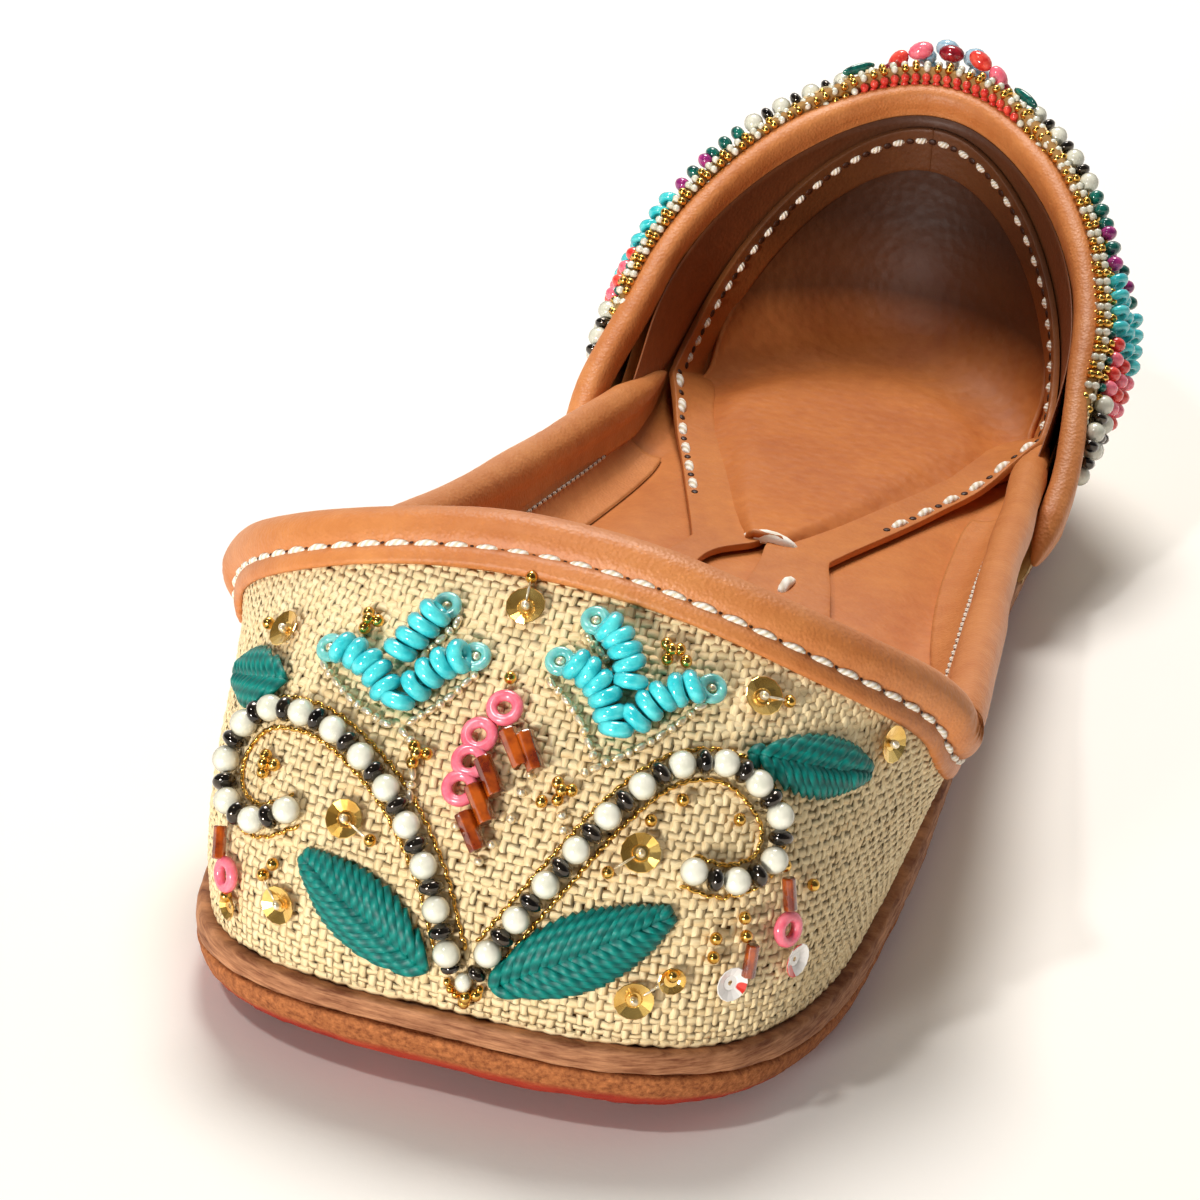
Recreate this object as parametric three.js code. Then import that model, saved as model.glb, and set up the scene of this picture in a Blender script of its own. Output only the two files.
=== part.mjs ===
// A mojari: a low, straight-lasted leather slipper with a short vamp, low sides and a heel quarter
// that stands up behind. One shoe that fits either foot, standing empty on its sole.
//
// Millimetres. +Z up, toe towards -Y, heel towards +Y. Every length "from the toe" is measured along
// +Y from the toe end of the sole. The origin is on the floor, below the middle of the whole shoe.

import * as THREE from "three";

// Driving dimensions.
const LENGTH = 228; // sole, toe to heel
const BALL_WIDTH = 76.6; // sole, at the ball of the foot
const OUTSOLE = 4.8; // bottom leather
const MIDSOLE = 2.7; // the thin layer between the outsole and the upper
const GAP = 0.3; // glue line between neighbouring pieces
const WALL = 2; // upper, woven face and leather lining together
const QUARTER_SKIN = 1.6; // the heel panel laid over the upper
const FEATHER_INSET = 1.8; // how far the upper stands in from the edge of the sole
const TOE_SPRING = 4;
const SPRING_LENGTH = 45; // from the toe to where the sole touches the floor
const ARCH = { start: 95, end: 160, lift: 1.2 };
const INSOLE = { edge: 2.2, crown: 1.6 }; // padded sock: thickness at its edge, and its rise
const ROLL = 2.5; // radius of the rolled bindings
const ROLL_OVAL = 1.08; // how much wider than high their section is
const SWELL = { low: 2.6, high: 0.8 }; // how far the wall swells outwards, low down and high up

// The sole's outline: half its width at stations along it. The ends are rounded off beyond these.
const OUTLINE = [
  { fromToe: 0, halfWidth: 0.988 * (BALL_WIDTH / 2) },
  { fromToe: 66, halfWidth: BALL_WIDTH / 2 },
  { fromToe: 150, halfWidth: 33 },
  { fromToe: 192, halfWidth: 32.6 },
  { fromToe: LENGTH, halfWidth: 32.4 },
];
const TOE_END = { length: 53, power: 3.35 };
const HEEL_END = { length: 46, power: 2.25 };

// The throat: the arched edge at the back of the vamp, from its middle out to its corners.
const THROAT = { middle: 28.6, middleHeight: 54.2, corner: 49.6, cornerHeight: 28.8, halfWidth: 44.3 };

// The last above the sides and heel, cut away later by the topline.
const CROWN = [
  { fromToe: 49.6, halfWidth: 44.3, height: 28.8 },
  { fromToe: 80, halfWidth: 43, height: 34 },
  { fromToe: 120, halfWidth: 40, height: 39 },
  { fromToe: 155, halfWidth: 38.2, height: 46 },
  { fromToe: 224.5, halfWidth: 35.8, height: 60 },
];
const CROWN_END = { length: 66, power: 1.75 };

// The topline in side view: the low side behind the throat, then the heel quarter.
const SIDE_TOP = [
  { fromToe: 42, height: 28.8 },
  { fromToe: 62, height: 26.8 },
  { fromToe: 100, height: 21.6 },
  { fromToe: 140, height: 17.4 },
  { fromToe: 175, height: 15 },
];
const QUARTER_TOP = { front: 150.5, frontHeight: 8.6, back: 226, backHeight: 53.4 };
const CROSSING = { start: 164, end: 178 }; // where the low side gives way to the quarter

// How far round the shoe the throat's corner lies, counted from 0 at the toe to 0.5 at the heel.
const CORNER_TURN = 0.14;
const CORNER_FOOT = 52; // where the sole meets the seam line that rises to that corner
const ROUNDING = 0.017; // reach of the softening of the throat's corners, as turns

const SOLE_STEPS = 38; // points along half of an outline
const HEIGHT_STEPS = 8; // points up the wall

// ---- Curves ----

const clamp = (x, low, high) => Math.min(high, Math.max(low, x));
const mix = (a, b, share) => a + (b - a) * share;
const smooth = (x, start, end) => {
  const share = clamp((x - start) / (end - start), 0, 1);
  return share * share * (3 - 2 * share);
};

// A column of a table read at a station, as one smooth curve through its rows.
function read(table, column, fromToe) {
  const rows = table.length;
  let i = 1;
  while (i < rows - 1 && table[i].fromToe < fromToe) i += 1;
  const slope = (k) => {
    const low = table[Math.max(k - 1, 0)];
    const high = table[Math.min(k + 1, rows - 1)];
    return (high[column] - low[column]) / (high.fromToe - low.fromToe);
  };
  const [from, to] = [table[i - 1], table[i]];
  const span = to.fromToe - from.fromToe;
  const u = clamp((fromToe - from.fromToe) / span, 0, 1);
  return (
    from[column] * (1 + 2 * u) * (1 - u) ** 2 +
    slope(i - 1) * span * u * (1 - u) ** 2 +
    to[column] * u * u * (3 - 2 * u) +
    slope(i) * span * u * u * (u - 1)
  );
}

// How much of its full width an outline keeps at a distance from one of its rounded ends.
function roundedEnd(distance, end) {
  if (distance >= end.length) return 1;
  const rest = 1 - clamp(distance, 0, end.length) / end.length;
  return (1 - rest ** end.power) ** (1 / end.power);
}

// The point at a share of a polyline's length.
function along(points, share) {
  const curve = points.lengths ?? (points.lengths = measured(points));
  const target = clamp(share, 0, 1) * curve[curve.length - 1];
  let i = 1;
  while (i < curve.length - 1 && curve[i] < target) i += 1;
  const u = (target - curve[i - 1]) / (curve[i] - curve[i - 1]);
  return points[i - 1].clone().lerp(points[i], u);
}

function measured(points) {
  const lengths = [0];
  points.slice(1).forEach((point, i) => lengths.push(lengths[i] + point.distanceTo(points[i])));
  return lengths;
}

// A half outline from toe to heel, closely sampled at both of its rounded ends.
function halfPlan(start, end, halfWidth, height) {
  const steps = 240;
  return Array.from({ length: steps + 1 }, (_, i) => {
    const fromToe = mix(start, end, (1 - Math.cos((Math.PI * i) / steps)) / 2);
    return new THREE.Vector3(halfWidth(fromToe), fromToe, height(fromToe));
  });
}

// ---- The last ----

// The underside: up at the toe, flat under the ball, up a little at the arch, flat under the heel.
function lift(fromToe) {
  const toe = clamp((SPRING_LENGTH - fromToe) / SPRING_LENGTH, 0, 1);
  const arch = clamp((fromToe - ARCH.start) / (ARCH.end - ARCH.start), 0, 1);
  return TOE_SPRING * toe ** 2 + ARCH.lift * Math.sin(Math.PI * arch) ** 2;
}

const soleHalfWidth = (fromToe) =>
  read(OUTLINE, "halfWidth", fromToe) *
  roundedEnd(fromToe, TOE_END) *
  roundedEnd(LENGTH - fromToe, HEEL_END);

const SOLE_EDGE = halfPlan(0, LENGTH, soleHalfWidth, () => 0);

// A point on the sole's outline, moved in from the edge, at a share of the half outline's length.
function outline(share, inset) {
  const reach = 0.004;
  const ahead = along(SOLE_EDGE, share + reach);
  const behind = along(SOLE_EDGE, share - reach);
  const outward = new THREE.Vector3(ahead.y - behind.y, behind.x - ahead.x, 0).normalize();
  if (share <= 0) outward.set(0, -1, 0);
  if (share >= 1) outward.set(0, 1, 0);
  return { point: along(SOLE_EDGE, share).addScaledVector(outward, -inset), outward };
}

const LAST_TOP = OUTSOLE + MIDSOLE + 2 * GAP; // where the upper and the insole start

const FOOT_SHARE = (() => {
  const lengths = measured(SOLE_EDGE);
  const i = SOLE_EDGE.findIndex((point) => point.y >= CORNER_FOOT);
  return lengths[i] / lengths[lengths.length - 1];
})();

const throatArch = Array.from({ length: 61 }, (_, i) => {
  const angle = (i / 60) * (Math.PI / 2);
  const out = Math.sin(angle);
  return new THREE.Vector3(
    THROAT.halfWidth * out,
    mix(THROAT.middle, THROAT.corner, out ** 5),
    mix(THROAT.cornerHeight, THROAT.middleHeight, Math.cos(angle)),
  );
});

const CROWN_BACK = CROWN[CROWN.length - 1].fromToe;
const sideCrown = halfPlan(
  THROAT.corner,
  CROWN_BACK,
  (fromToe) => read(CROWN, "halfWidth", fromToe) * roundedEnd(CROWN_BACK - fromToe, CROWN_END),
  (fromToe) => read(CROWN, "height", fromToe),
);

// A turn is a place round the shoe: 0 at the toe, 0.25 on the right, 0.5 at the heel, 0.75 left.
// On the left half, the right half is mirrored.
function mirrored(turn, rightHalf) {
  const wrapped = turn - Math.floor(turn);
  if (wrapped <= 0.5) return rightHalf(wrapped);
  const { x, y, z } = rightHalf(1 - wrapped);
  return new THREE.Vector3(-x, y, z);
}

const sharePast = (turn) => (turn - CORNER_TURN) / (0.5 - CORNER_TURN);

const footShare = (turn) =>
  turn < CORNER_TURN
    ? (turn / CORNER_TURN) * FOOT_SHARE
    : mix(FOOT_SHARE, 1, sharePast(turn));

const foot = (turn) =>
  mirrored(turn, (t) => {
    const { point } = outline(footShare(t), FEATHER_INSET);
    return point.setZ(LAST_TOP + lift(point.y));
  });

const outward = (turn) => mirrored(turn, (t) => outline(footShare(t), 0).outward);

const rawCrown = (turn) =>
  mirrored(turn, (t) =>
    t < CORNER_TURN ? along(throatArch, t / CORNER_TURN) : along(sideCrown, sharePast(t)),
  );

// The mean of a value over a short stretch on both sides of a turn, which rounds its corners.
function softened(turn, value) {
  const samples = 11;
  const sum = new THREE.Vector3();
  for (let i = 0; i < samples; i += 1) {
    sum.add(value(turn + ROUNDING * mix(-1, 1, i / (samples - 1))));
  }
  return sum.divideScalar(samples);
}

// The last's own surface, outside the upper: rise 0 is where it meets the sole, rise 1 its crown.
const sections = new Map();
function section(turn) {
  if (!sections.has(turn)) {
    const [from, to, out] = [foot(turn), softened(turn, rawCrown), outward(turn)];
    const height = to.z - from.z;
    const lower = from.clone().addScaledVector(out, SWELL.low);
    lower.z += 0.4 * height;
    const upper = to.clone().lerp(new THREE.Vector3(from.x, from.y, to.z), 0.5);
    upper.addScaledVector(out, SWELL.high).z -= 0.28 * height;
    sections.set(turn, new THREE.CubicBezierCurve3(from, lower, upper, to));
  }
  return sections.get(turn);
}
const last = (turn, rise) => section(turn).getPoint(rise);

function outwardNormal(turn, rise) {
  const step = 1e-3;
  const round = last(turn + step, rise).sub(last(turn - step, rise));
  const up = last(turn, rise + step).sub(last(turn, rise - step));
  const normal = round.cross(up).normalize();
  if (rise <= 0) normal.setZ(0).normalize(); // the foot of the wall is cut level
  return normal;
}

const lastOffset = (turn, rise, distance) =>
  last(turn, rise).addScaledVector(outwardNormal(turn, rise), distance);

// The rise at which the last reaches a height that depends on the station.
function riseTo(turn, heightAt) {
  let [low, high] = [0, 1];
  for (let i = 0; i < 18; i += 1) {
    const middle = (low + high) / 2;
    const { y, z } = last(turn, middle);
    if (z < heightAt(y)) low = middle;
    else high = middle;
  }
  return (low + high) / 2;
}

const quarterTop = (fromToe) => {
  const share = (fromToe - QUARTER_TOP.front) / (QUARTER_TOP.back - QUARTER_TOP.front);
  return mix(QUARTER_TOP.frontHeight, QUARTER_TOP.backHeight, share);
};
const upperTop = (fromToe) =>
  mix(
    read(SIDE_TOP, "height", fromToe),
    quarterTop(fromToe),
    smooth(fromToe, CROSSING.start, CROSSING.end),
  );

const halfTurn = (turn) => Math.min(turn - Math.floor(turn), Math.ceil(turn) - turn);
const rawRim = (turn) => {
  const half = halfTurn(turn);
  return new THREE.Vector3(half < CORNER_TURN ? 1 : riseTo(half, upperTop), 0, 0);
};
const rims = new Map();
function rim(turn) {
  if (!rims.has(turn)) rims.set(turn, softened(turn, rawRim).x);
  return rims.get(turn);
}
const quarterRim = (turn) => riseTo(halfTurn(turn), quarterTop);

// ---- Solids ----

// A closed mesh through rings of points. The rings close on the first, or end in flat caps.
function loft(rings, { closed = false, cap = "fan" } = {}) {
  const size = rings[0].length;
  const positions = rings.flat().flatMap(({ x, y, z }) => [x, y, z]);
  const faces = [];
  const bands = closed ? rings.length : rings.length - 1;
  for (let i = 0; i < bands; i += 1) {
    const [here, next] = [i * size, ((i + 1) % rings.length) * size];
    for (let j = 0; j < size; j += 1) {
      const k = (j + 1) % size;
      faces.push(here + j, here + k, next + k, here + j, next + k, next + j);
    }
  }
  if (!closed) {
    const end = (rings.length - 1) * size;
    const capFaces = cap === "ladder" ? ladder(size) : fan(size);
    capFaces.forEach(([a, b, c]) => faces.push(a, c, b, end + a, end + b, end + c));
  }
  const geometry = new THREE.BufferGeometry();
  geometry.setAttribute("position", new THREE.Float32BufferAttribute(positions, 3));
  geometry.setIndex(faces);
  geometry.computeVertexNormals();
  return geometry;
}

const fan = (size) => Array.from({ length: size - 2 }, (_, i) => [0, i + 1, i + 2]);

// A cap for a ring that runs from toe to heel and back: rungs across, so it can bend lengthwise.
function ladder(size) {
  const rungs = [];
  for (let i = 0; i < size / 2; i += 1) {
    const [right, nextRight] = [i, i + 1];
    const [left, nextLeft] = [(size - i) % size, size - i - 1];
    if (right !== left) rungs.push([right, nextRight, left]);
    if (nextRight !== nextLeft) rungs.push([nextRight, nextLeft, left]);
  }
  return rungs;
}

// The sole's outline as a ring from the toe up the right side and back down the left.
function soleRing(inset, height) {
  return Array.from({ length: 2 * SOLE_STEPS }, (_, i) => {
    const share = i <= SOLE_STEPS ? i / SOLE_STEPS : 2 - i / SOLE_STEPS;
    const { point } = outline(share, inset);
    const side = i <= SOLE_STEPS ? 1 : -1;
    return new THREE.Vector3(side * point.x, point.y, height + lift(point.y));
  });
}

// The bottom leather, pared inwards towards the floor.
function outsole() {
  return loft(
    [soleRing(3.4, 0), soleRing(2.2, 0.7), soleRing(0.5, OUTSOLE - 1), soleRing(0.1, OUTSOLE)],
    { cap: "ladder" },
  );
}

function midsole() {
  const bottom = OUTSOLE + GAP;
  return loft(
    [
      soleRing(0.3, bottom),
      soleRing(0, bottom + 0.4),
      soleRing(0, bottom + MIDSOLE - 0.6),
      soleRing(0.6, bottom + MIDSOLE),
    ],
    { cap: "ladder" },
  );
}

function insole() {
  const edge = FEATHER_INSET + WALL + GAP;
  const top = LAST_TOP + INSOLE.edge;
  return loft(
    [
      soleRing(edge, LAST_TOP),
      soleRing(edge, top - 0.9),
      soleRing(edge + 1.2, top),
      soleRing(edge + 8, top + 0.75 * INSOLE.crown),
      soleRing(edge + 16, top + INSOLE.crown),
    ],
    { cap: "ladder" },
  );
}

// A wall between two offsets of the last, as a ring that goes up its inside and down its outside.
function wallRing(turn, topRise, inside, outside) {
  const up = Array.from({ length: HEIGHT_STEPS + 1 }, (_, i) => (topRise * i) / HEIGHT_STEPS);
  const outer = up.map((rise) => lastOffset(turn, rise, outside));
  const inner = up.map((rise) => lastOffset(turn, rise, inside));
  const floor = LAST_TOP + lift(outer[0].y);
  [...outer, ...inner].forEach((point) => point.setZ(Math.max(point.z, floor)));
  return [...inner, ...outer.reverse()];
}

// Evenly spaced turns, both ends included.
function turns(from, to, steps) {
  return Array.from({ length: steps + 1 }, (_, i) => mix(from, to, i / steps));
}

// Rings stand closer together round the throat's corners and at the heel.
function upper() {
  const right = [
    ...turns(0, CORNER_TURN - 0.03, 9),
    ...turns(CORNER_TURN - 0.022, CORNER_TURN + 0.022, 6),
    ...turns(CORNER_TURN + 0.034, 0.34, 11),
    ...turns(0.35, 0.5, 13),
  ];
  const left = right.slice(1, -1).reverse().map((turn) => 1 - turn);
  const rings = [...right, ...left].map((turn) => wallRing(turn, rim(turn), -WALL, 0));
  return loft(rings, { closed: true });
}

// Where the quarter's front end starts and ends, as turns.
const QUARTER_TURN = (() => {
  const starts = turns(CORNER_TURN, 0.5, 600);
  return starts.find((turn) => quarterTop(foot(turn).y) > LAST_TOP + 2.4);
})();

function heelQuarter() {
  const rings = turns(QUARTER_TURN, 1 - QUARTER_TURN, 48).map((turn) =>
    wallRing(turn, quarterRim(turn), GAP, GAP + QUARTER_SKIN),
  );
  return loft(rings);
}

// A rolled edge: an oval ring round a line that stands off from a rim, square to that line.
function rollRing(turn, riseAt, standOut, radius) {
  const step = 2e-3;
  const rimAt = (t) => last(t, riseAt(t));
  const normal = outwardNormal(turn, riseAt(turn));
  const forward = rimAt(turn + step).sub(rimAt(turn - step)).normalize();
  const away = normal.clone().cross(forward).normalize();
  const centre = rimAt(turn)
    .addScaledVector(normal, standOut)
    .addScaledVector(away, radius + GAP);
  const sides = 10;
  return Array.from({ length: sides }, (_, i) => {
    const angle = (2 * Math.PI * i) / sides;
    return centre
      .clone()
      .addScaledVector(away, -radius * Math.sin(angle))
      .addScaledVector(normal, ROLL_OVAL * radius * Math.cos(angle));
  });
}

// The side roll stops where the quarter has come up beside it.
const SIDE_ROLL_END = (() => {
  const ends = turns(CORNER_TURN, 0.5, 600);
  return ends.find((turn) => last(turn, rim(turn)).y > CROSSING.start - 1);
})();

// From one crossing forward along the low side, over the throat, and back along the other side.
// Both ends tuck inwards, behind the quarter.
function throatBinding() {
  const rings = [
    ...turns(-SIDE_ROLL_END, -CORNER_TURN - 0.03, 14),
    ...turns(-CORNER_TURN - 0.022, -CORNER_TURN + 0.022, 9),
    ...turns(-CORNER_TURN + 0.03, CORNER_TURN - 0.03, 16),
    ...turns(CORNER_TURN - 0.022, CORNER_TURN + 0.022, 9),
    ...turns(CORNER_TURN + 0.03, SIDE_ROLL_END, 14),
  ].map((turn) => {
    const tuck = 1.7 * smooth(halfTurn(turn), SIDE_ROLL_END - 0.035, SIDE_ROLL_END - 0.01);
    return rollRing(turn, rim, -WALL / 2 - tuck, ROLL);
  });
  return loft(rings);
}

// Up the quarter's front edge, along its topline round the heel, and down the other front edge.
function quarterBinding() {
  const overWalls = (GAP + QUARTER_SKIN - WALL) / 2;
  const outsideWall = GAP + ROLL * ROLL_OVAL;
  const rings = turns(QUARTER_TURN, 1 - QUARTER_TURN, 60).map((turn) => {
    const { y } = last(turn, quarterRim(turn));
    const standOut = mix(outsideWall, overWalls, smooth(y, CROSSING.start, CROSSING.end + 8));
    return rollRing(turn, quarterRim, standOut, ROLL);
  });
  return loft(rings);
}

// ---- The shoe ----

const leather = { roughness: 0.55, metalness: 0 };
const pieces = [
  { name: "outsole", shape: outsole, color: 0x9a5b32, roughness: 0.8, metalness: 0 },
  { name: "midsole", shape: midsole, color: 0xa9713f, roughness: 0.75, metalness: 0 },
  { name: "insole", shape: insole, color: 0xcd7d3c, ...leather },
  { name: "upper", shape: upper, color: 0xe2c48c, roughness: 0.9, metalness: 0 },
  { name: "heel_quarter", shape: heelQuarter, color: 0xd8b070, roughness: 0.85, metalness: 0 },
  { name: "throat_binding", shape: throatBinding, color: 0xc98352, ...leather },
  { name: "quarter_binding", shape: quarterBinding, color: 0xc47d4a, ...leather },
];

const shoe = new THREE.Group();
for (const { name, shape, ...finish } of pieces) {
  const mesh = new THREE.Mesh(shape(), new THREE.MeshStandardMaterial(finish));
  mesh.name = name;
  shoe.add(mesh);
}
const extent = new THREE.Box3().setFromObject(shoe);
shoe.position.y = -(extent.min.y + extent.max.y) / 2;

export default shoe;
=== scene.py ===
import bpy
import numpy as np
from mathutils import Matrix, Vector, noise


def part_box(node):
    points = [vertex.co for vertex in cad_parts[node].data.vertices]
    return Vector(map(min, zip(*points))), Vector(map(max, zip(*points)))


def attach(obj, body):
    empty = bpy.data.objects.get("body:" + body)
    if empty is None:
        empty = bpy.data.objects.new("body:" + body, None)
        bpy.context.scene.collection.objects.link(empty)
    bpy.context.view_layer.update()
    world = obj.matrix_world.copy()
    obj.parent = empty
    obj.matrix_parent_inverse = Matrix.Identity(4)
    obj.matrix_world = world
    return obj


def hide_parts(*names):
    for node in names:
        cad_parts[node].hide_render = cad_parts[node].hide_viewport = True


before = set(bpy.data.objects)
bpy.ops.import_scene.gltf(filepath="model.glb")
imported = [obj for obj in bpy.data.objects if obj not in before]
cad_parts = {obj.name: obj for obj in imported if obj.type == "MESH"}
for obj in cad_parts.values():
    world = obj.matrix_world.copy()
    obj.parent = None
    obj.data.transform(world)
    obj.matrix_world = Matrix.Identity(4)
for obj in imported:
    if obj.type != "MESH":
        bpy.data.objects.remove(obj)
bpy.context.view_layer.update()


# ---- Outsole ----
# The bottom leather of a straight-lasted shoe: 4.8 mm, skived inwards towards the floor, its cut
# edge left fuzzy and brown, and the paint of the tread side run over on to the lower bevel.

MM = 0.001
SOLE_LOW, SOLE_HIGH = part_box("midsole")
TOE = SOLE_LOW.y  # every "station" is a distance back from here, in millimetres
LENGTH = (SOLE_HIGH.y - SOLE_LOW.y) / MM
BALL_HALF_WIDTH = SOLE_HIGH.x / MM
OUTSOLE_TOP = 4.8
TOE_SPRING, SPRING_LENGTH = 4, 45
ARCH_START, ARCH_END, ARCH_LIFT = 95, 160, 1.2


def eased(value, start, end):
    share = np.clip((value - start) / (end - start), 0, 1)
    return share * share * (3 - 2 * share)


def read(rows, station):
    """The value of a table of (station, value) rows, as one smooth curve through the rows."""
    at, value = np.array(rows, float).T
    slope = np.gradient(value, at)
    slope[1:-1] = (value[2:] - value[:-2]) / (at[2:] - at[:-2])
    i = np.clip(np.searchsorted(at, station), 1, len(at) - 1)
    span = at[i] - at[i - 1]
    u = np.clip((station - at[i - 1]) / span, 0, 1)
    ends = value[i - 1] * (1 + 2 * u) * (1 - u) ** 2 + value[i] * u * u * (3 - 2 * u)
    return ends + span * (slope[i - 1] * u * (1 - u) ** 2 + slope[i] * u * u * (u - 1))


def rounded_end(distance, length, power):
    """How much of its full width an outline keeps at a distance from one of its rounded ends."""
    rest = 1 - np.clip(distance, 0, length) / length
    return (1 - rest**power) ** (1 / power)


def lengths(points):
    """Distances along a polyline, from its first point."""
    return np.concatenate([[0], np.cumsum(np.linalg.norm(np.diff(points, axis=0), axis=1))])


def along(points, share):
    """The points at shares of a polyline's length."""
    length = lengths(points)
    target = np.clip(share, 0, 1) * length[-1]
    return np.stack([np.interp(target, length, column) for column in points.T], -1)


def lift(station):
    """The underside: up at the toe, flat at the ball, up a little at the arch, flat at the heel."""
    toe = np.clip((SPRING_LENGTH - station) / SPRING_LENGTH, 0, 1)
    arch = np.clip((station - ARCH_START) / (ARCH_END - ARCH_START), 0, 1)
    return TOE_SPRING * toe**2 + ARCH_LIFT * np.sin(np.pi * arch) ** 2


half_width = [(0, 0.988 * BALL_HALF_WIDTH), (66, BALL_HALF_WIDTH), (150, 33), (192, 32.6), (LENGTH, 32.4)]
crowded = (1 - np.cos(np.linspace(0, np.pi, 241))) / 2  # shares, closer together at both ends
sole_stations = LENGTH * crowded
SOLE_EDGE = np.stack(
    [
        read(half_width, sole_stations)
        * rounded_end(sole_stations, 53, 3.35)
        * rounded_end(LENGTH - sole_stations, 46, 2.25),
        sole_stations,
    ],
    -1,
)


def outline(share, inset=0.0):
    """Points of the sole's right edge, from toe to heel, moved in by inset, and which way is out."""
    ahead, behind = along(SOLE_EDGE, share + 0.004), along(SOLE_EDGE, share - 0.004)
    out = np.stack([ahead[..., 1] - behind[..., 1], behind[..., 0] - ahead[..., 0]], -1)
    out /= np.linalg.norm(out, axis=-1, keepdims=True)
    out[share <= 0] = (0, -1)
    out[share >= 1] = (0, 1)
    return along(SOLE_EDGE, share) - np.asarray(inset)[..., None] * out, out


def sole_point(turn, inset, height, spread=1.0):
    """A point at a turn round the sole: 0 is the toe, 0.25 the right, 0.5 the heel, 0.75 the left.
    A spread below 1 draws it towards the middle line."""
    half_turn = np.minimum(turn, 1 - turn)
    edge, _ = outline(2 * half_turn, inset)
    side = np.where(turn <= 0.5, 1.0, -1.0)
    return np.stack([side * edge[..., 0] * spread, edge[..., 1], height + lift(edge[..., 1])], -1)


def metres(points):
    """Millimetres from the toe, (x, station, z), as metres in the frame."""
    return np.asarray(points) * MM + (0, TOE, 0)


def shaped_grid(name, columns, rows, place, seam=False):
    """A grid laid out by place(u, v), which gives millimetres. Its UV map holds lengths in mm."""
    bpy.ops.object.select_all(action="DESELECT")
    bpy.ops.mesh.primitive_grid_add(x_subdivisions=columns, y_subdivisions=rows, size=1)
    piece = bpy.context.object
    piece.name = piece.data.name = name
    mesh = piece.data
    flat = np.empty(3 * len(mesh.vertices))
    mesh.vertices.foreach_get("co", flat)
    u, v = flat.reshape(-1, 3)[:, :2].T + 0.5
    points = place(u, v)
    mesh.vertices.foreach_set("co", metres(points).ravel())
    order = np.lexsort((u, v))
    lattice = points[order].reshape(rows + 1, columns + 1, 3)
    measured = np.zeros((rows + 1, columns + 1, 2))
    measured[:, 1:, 0] = np.cumsum(np.linalg.norm(np.diff(lattice, axis=1), axis=2), axis=1)
    measured[1:, :, 1] = np.cumsum(np.linalg.norm(np.diff(lattice, axis=0), axis=2), axis=0)
    lengths_at = np.empty((len(points), 2))
    lengths_at[order] = measured.reshape(-1, 2)
    corners = np.empty(len(mesh.loops), int)
    mesh.loops.foreach_get("vertex_index", corners)
    mesh.uv_layers.active.data.foreach_set("uv", lengths_at[corners].ravel())
    if seam:
        bpy.ops.object.mode_set(mode="EDIT")
        bpy.ops.mesh.select_all(action="SELECT")
        bpy.ops.mesh.remove_doubles(threshold=1e-6)
        bpy.ops.mesh.normals_make_consistent(inside=False)
        bpy.ops.object.mode_set(mode="OBJECT")
    bpy.ops.object.shade_smooth()
    return piece


def roughened(piece, size, depth):
    """Moves each vertex in or out by a soft noise, both lengths in millimetres."""
    before = [(vertex.co.copy(), vertex.normal.copy()) for vertex in piece.data.vertices]
    for vertex, (spot, normal) in zip(piece.data.vertices, before):
        vertex.co = spot + normal * depth * MM * noise.noise(spot / (size * MM))


def dressed(piece, material):
    """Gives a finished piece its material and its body."""
    piece.data.materials.append(material)
    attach(piece, "root")


def tint(red, green, blue):
    """A colour from 0 to 255, as the linear values that shaders take."""
    share = np.array([red, green, blue]) / 255
    return tuple(np.where(share < 0.04045, share / 12.92, ((share + 0.055) / 1.055) ** 2.4))


class Wire:
    """One output of a shader node. Arithmetic on it adds Math nodes."""

    def __init__(self, finish, socket):
        self.finish, self.socket = finish, socket

    def maths(self, operation, *others):
        return self.finish.node("Math", dict(enumerate([self, *others])), operation=operation)

    def __add__(self, other):
        return self.maths("ADD", other)

    def __sub__(self, other):
        return self.maths("SUBTRACT", other)

    def __rsub__(self, other):
        return self * -1 + other

    def __mul__(self, other):
        return self.maths("MULTIPLY", other)

    __radd__, __rmul__ = __add__, __mul__

    def stretched(self, low, high):
        """0 below low, 1 above high, and a straight slope between."""
        return self.finish.node("MapRange", {"Value": self, "From Min": low, "From Max": high})


class Finish:
    """A material being made. Constants go straight on to the main shader's sockets."""

    def __init__(self, name, constants):
        self.material = bpy.data.materials.new(name)
        self.material.use_nodes = True
        self.tree = self.material.node_tree
        self.shader = self.tree.nodes["Principled BSDF"]
        self.feed(self.shader, constants)

    def feed(self, node, sockets):
        for key, value in sockets.items():
            socket = node.inputs[key]
            if isinstance(value, Wire):
                self.tree.links.new(value.socket, socket)
            elif socket.type == "RGBA":
                socket.default_value = (*value, 1)
            else:
                socket.default_value = value

    def node(self, kind, sockets=(), output=0, **settings):
        node = self.tree.nodes.new("ShaderNode" + kind)
        for setting, value in settings.items():
            setattr(node, setting, value)
        self.feed(node, dict(sockets))
        return Wire(self, node.outputs[output])

    def noise(self, where, scale, detail=3, roughness=0.55):
        sockets = {"Vector": where, "Scale": scale, "Detail": detail, "Roughness": roughness}
        return self.node("TexNoise", sockets)

    def blend(self, share, first, second):
        return self.node("Mix", {0: share, 6: first, 7: second}, 2, data_type="RGBA")

    def scaled(self, where, factors):
        return self.node("VectorMath", {0: where, 1: factors}, operation="MULTIPLY")

    def bumped(self, height, millimetres, strength=1.0):
        sockets = {"Height": height, "Distance": millimetres * MM, "Strength": strength}
        self.feed(self.shader, {"Normal": self.node("Bump", sockets)})


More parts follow.
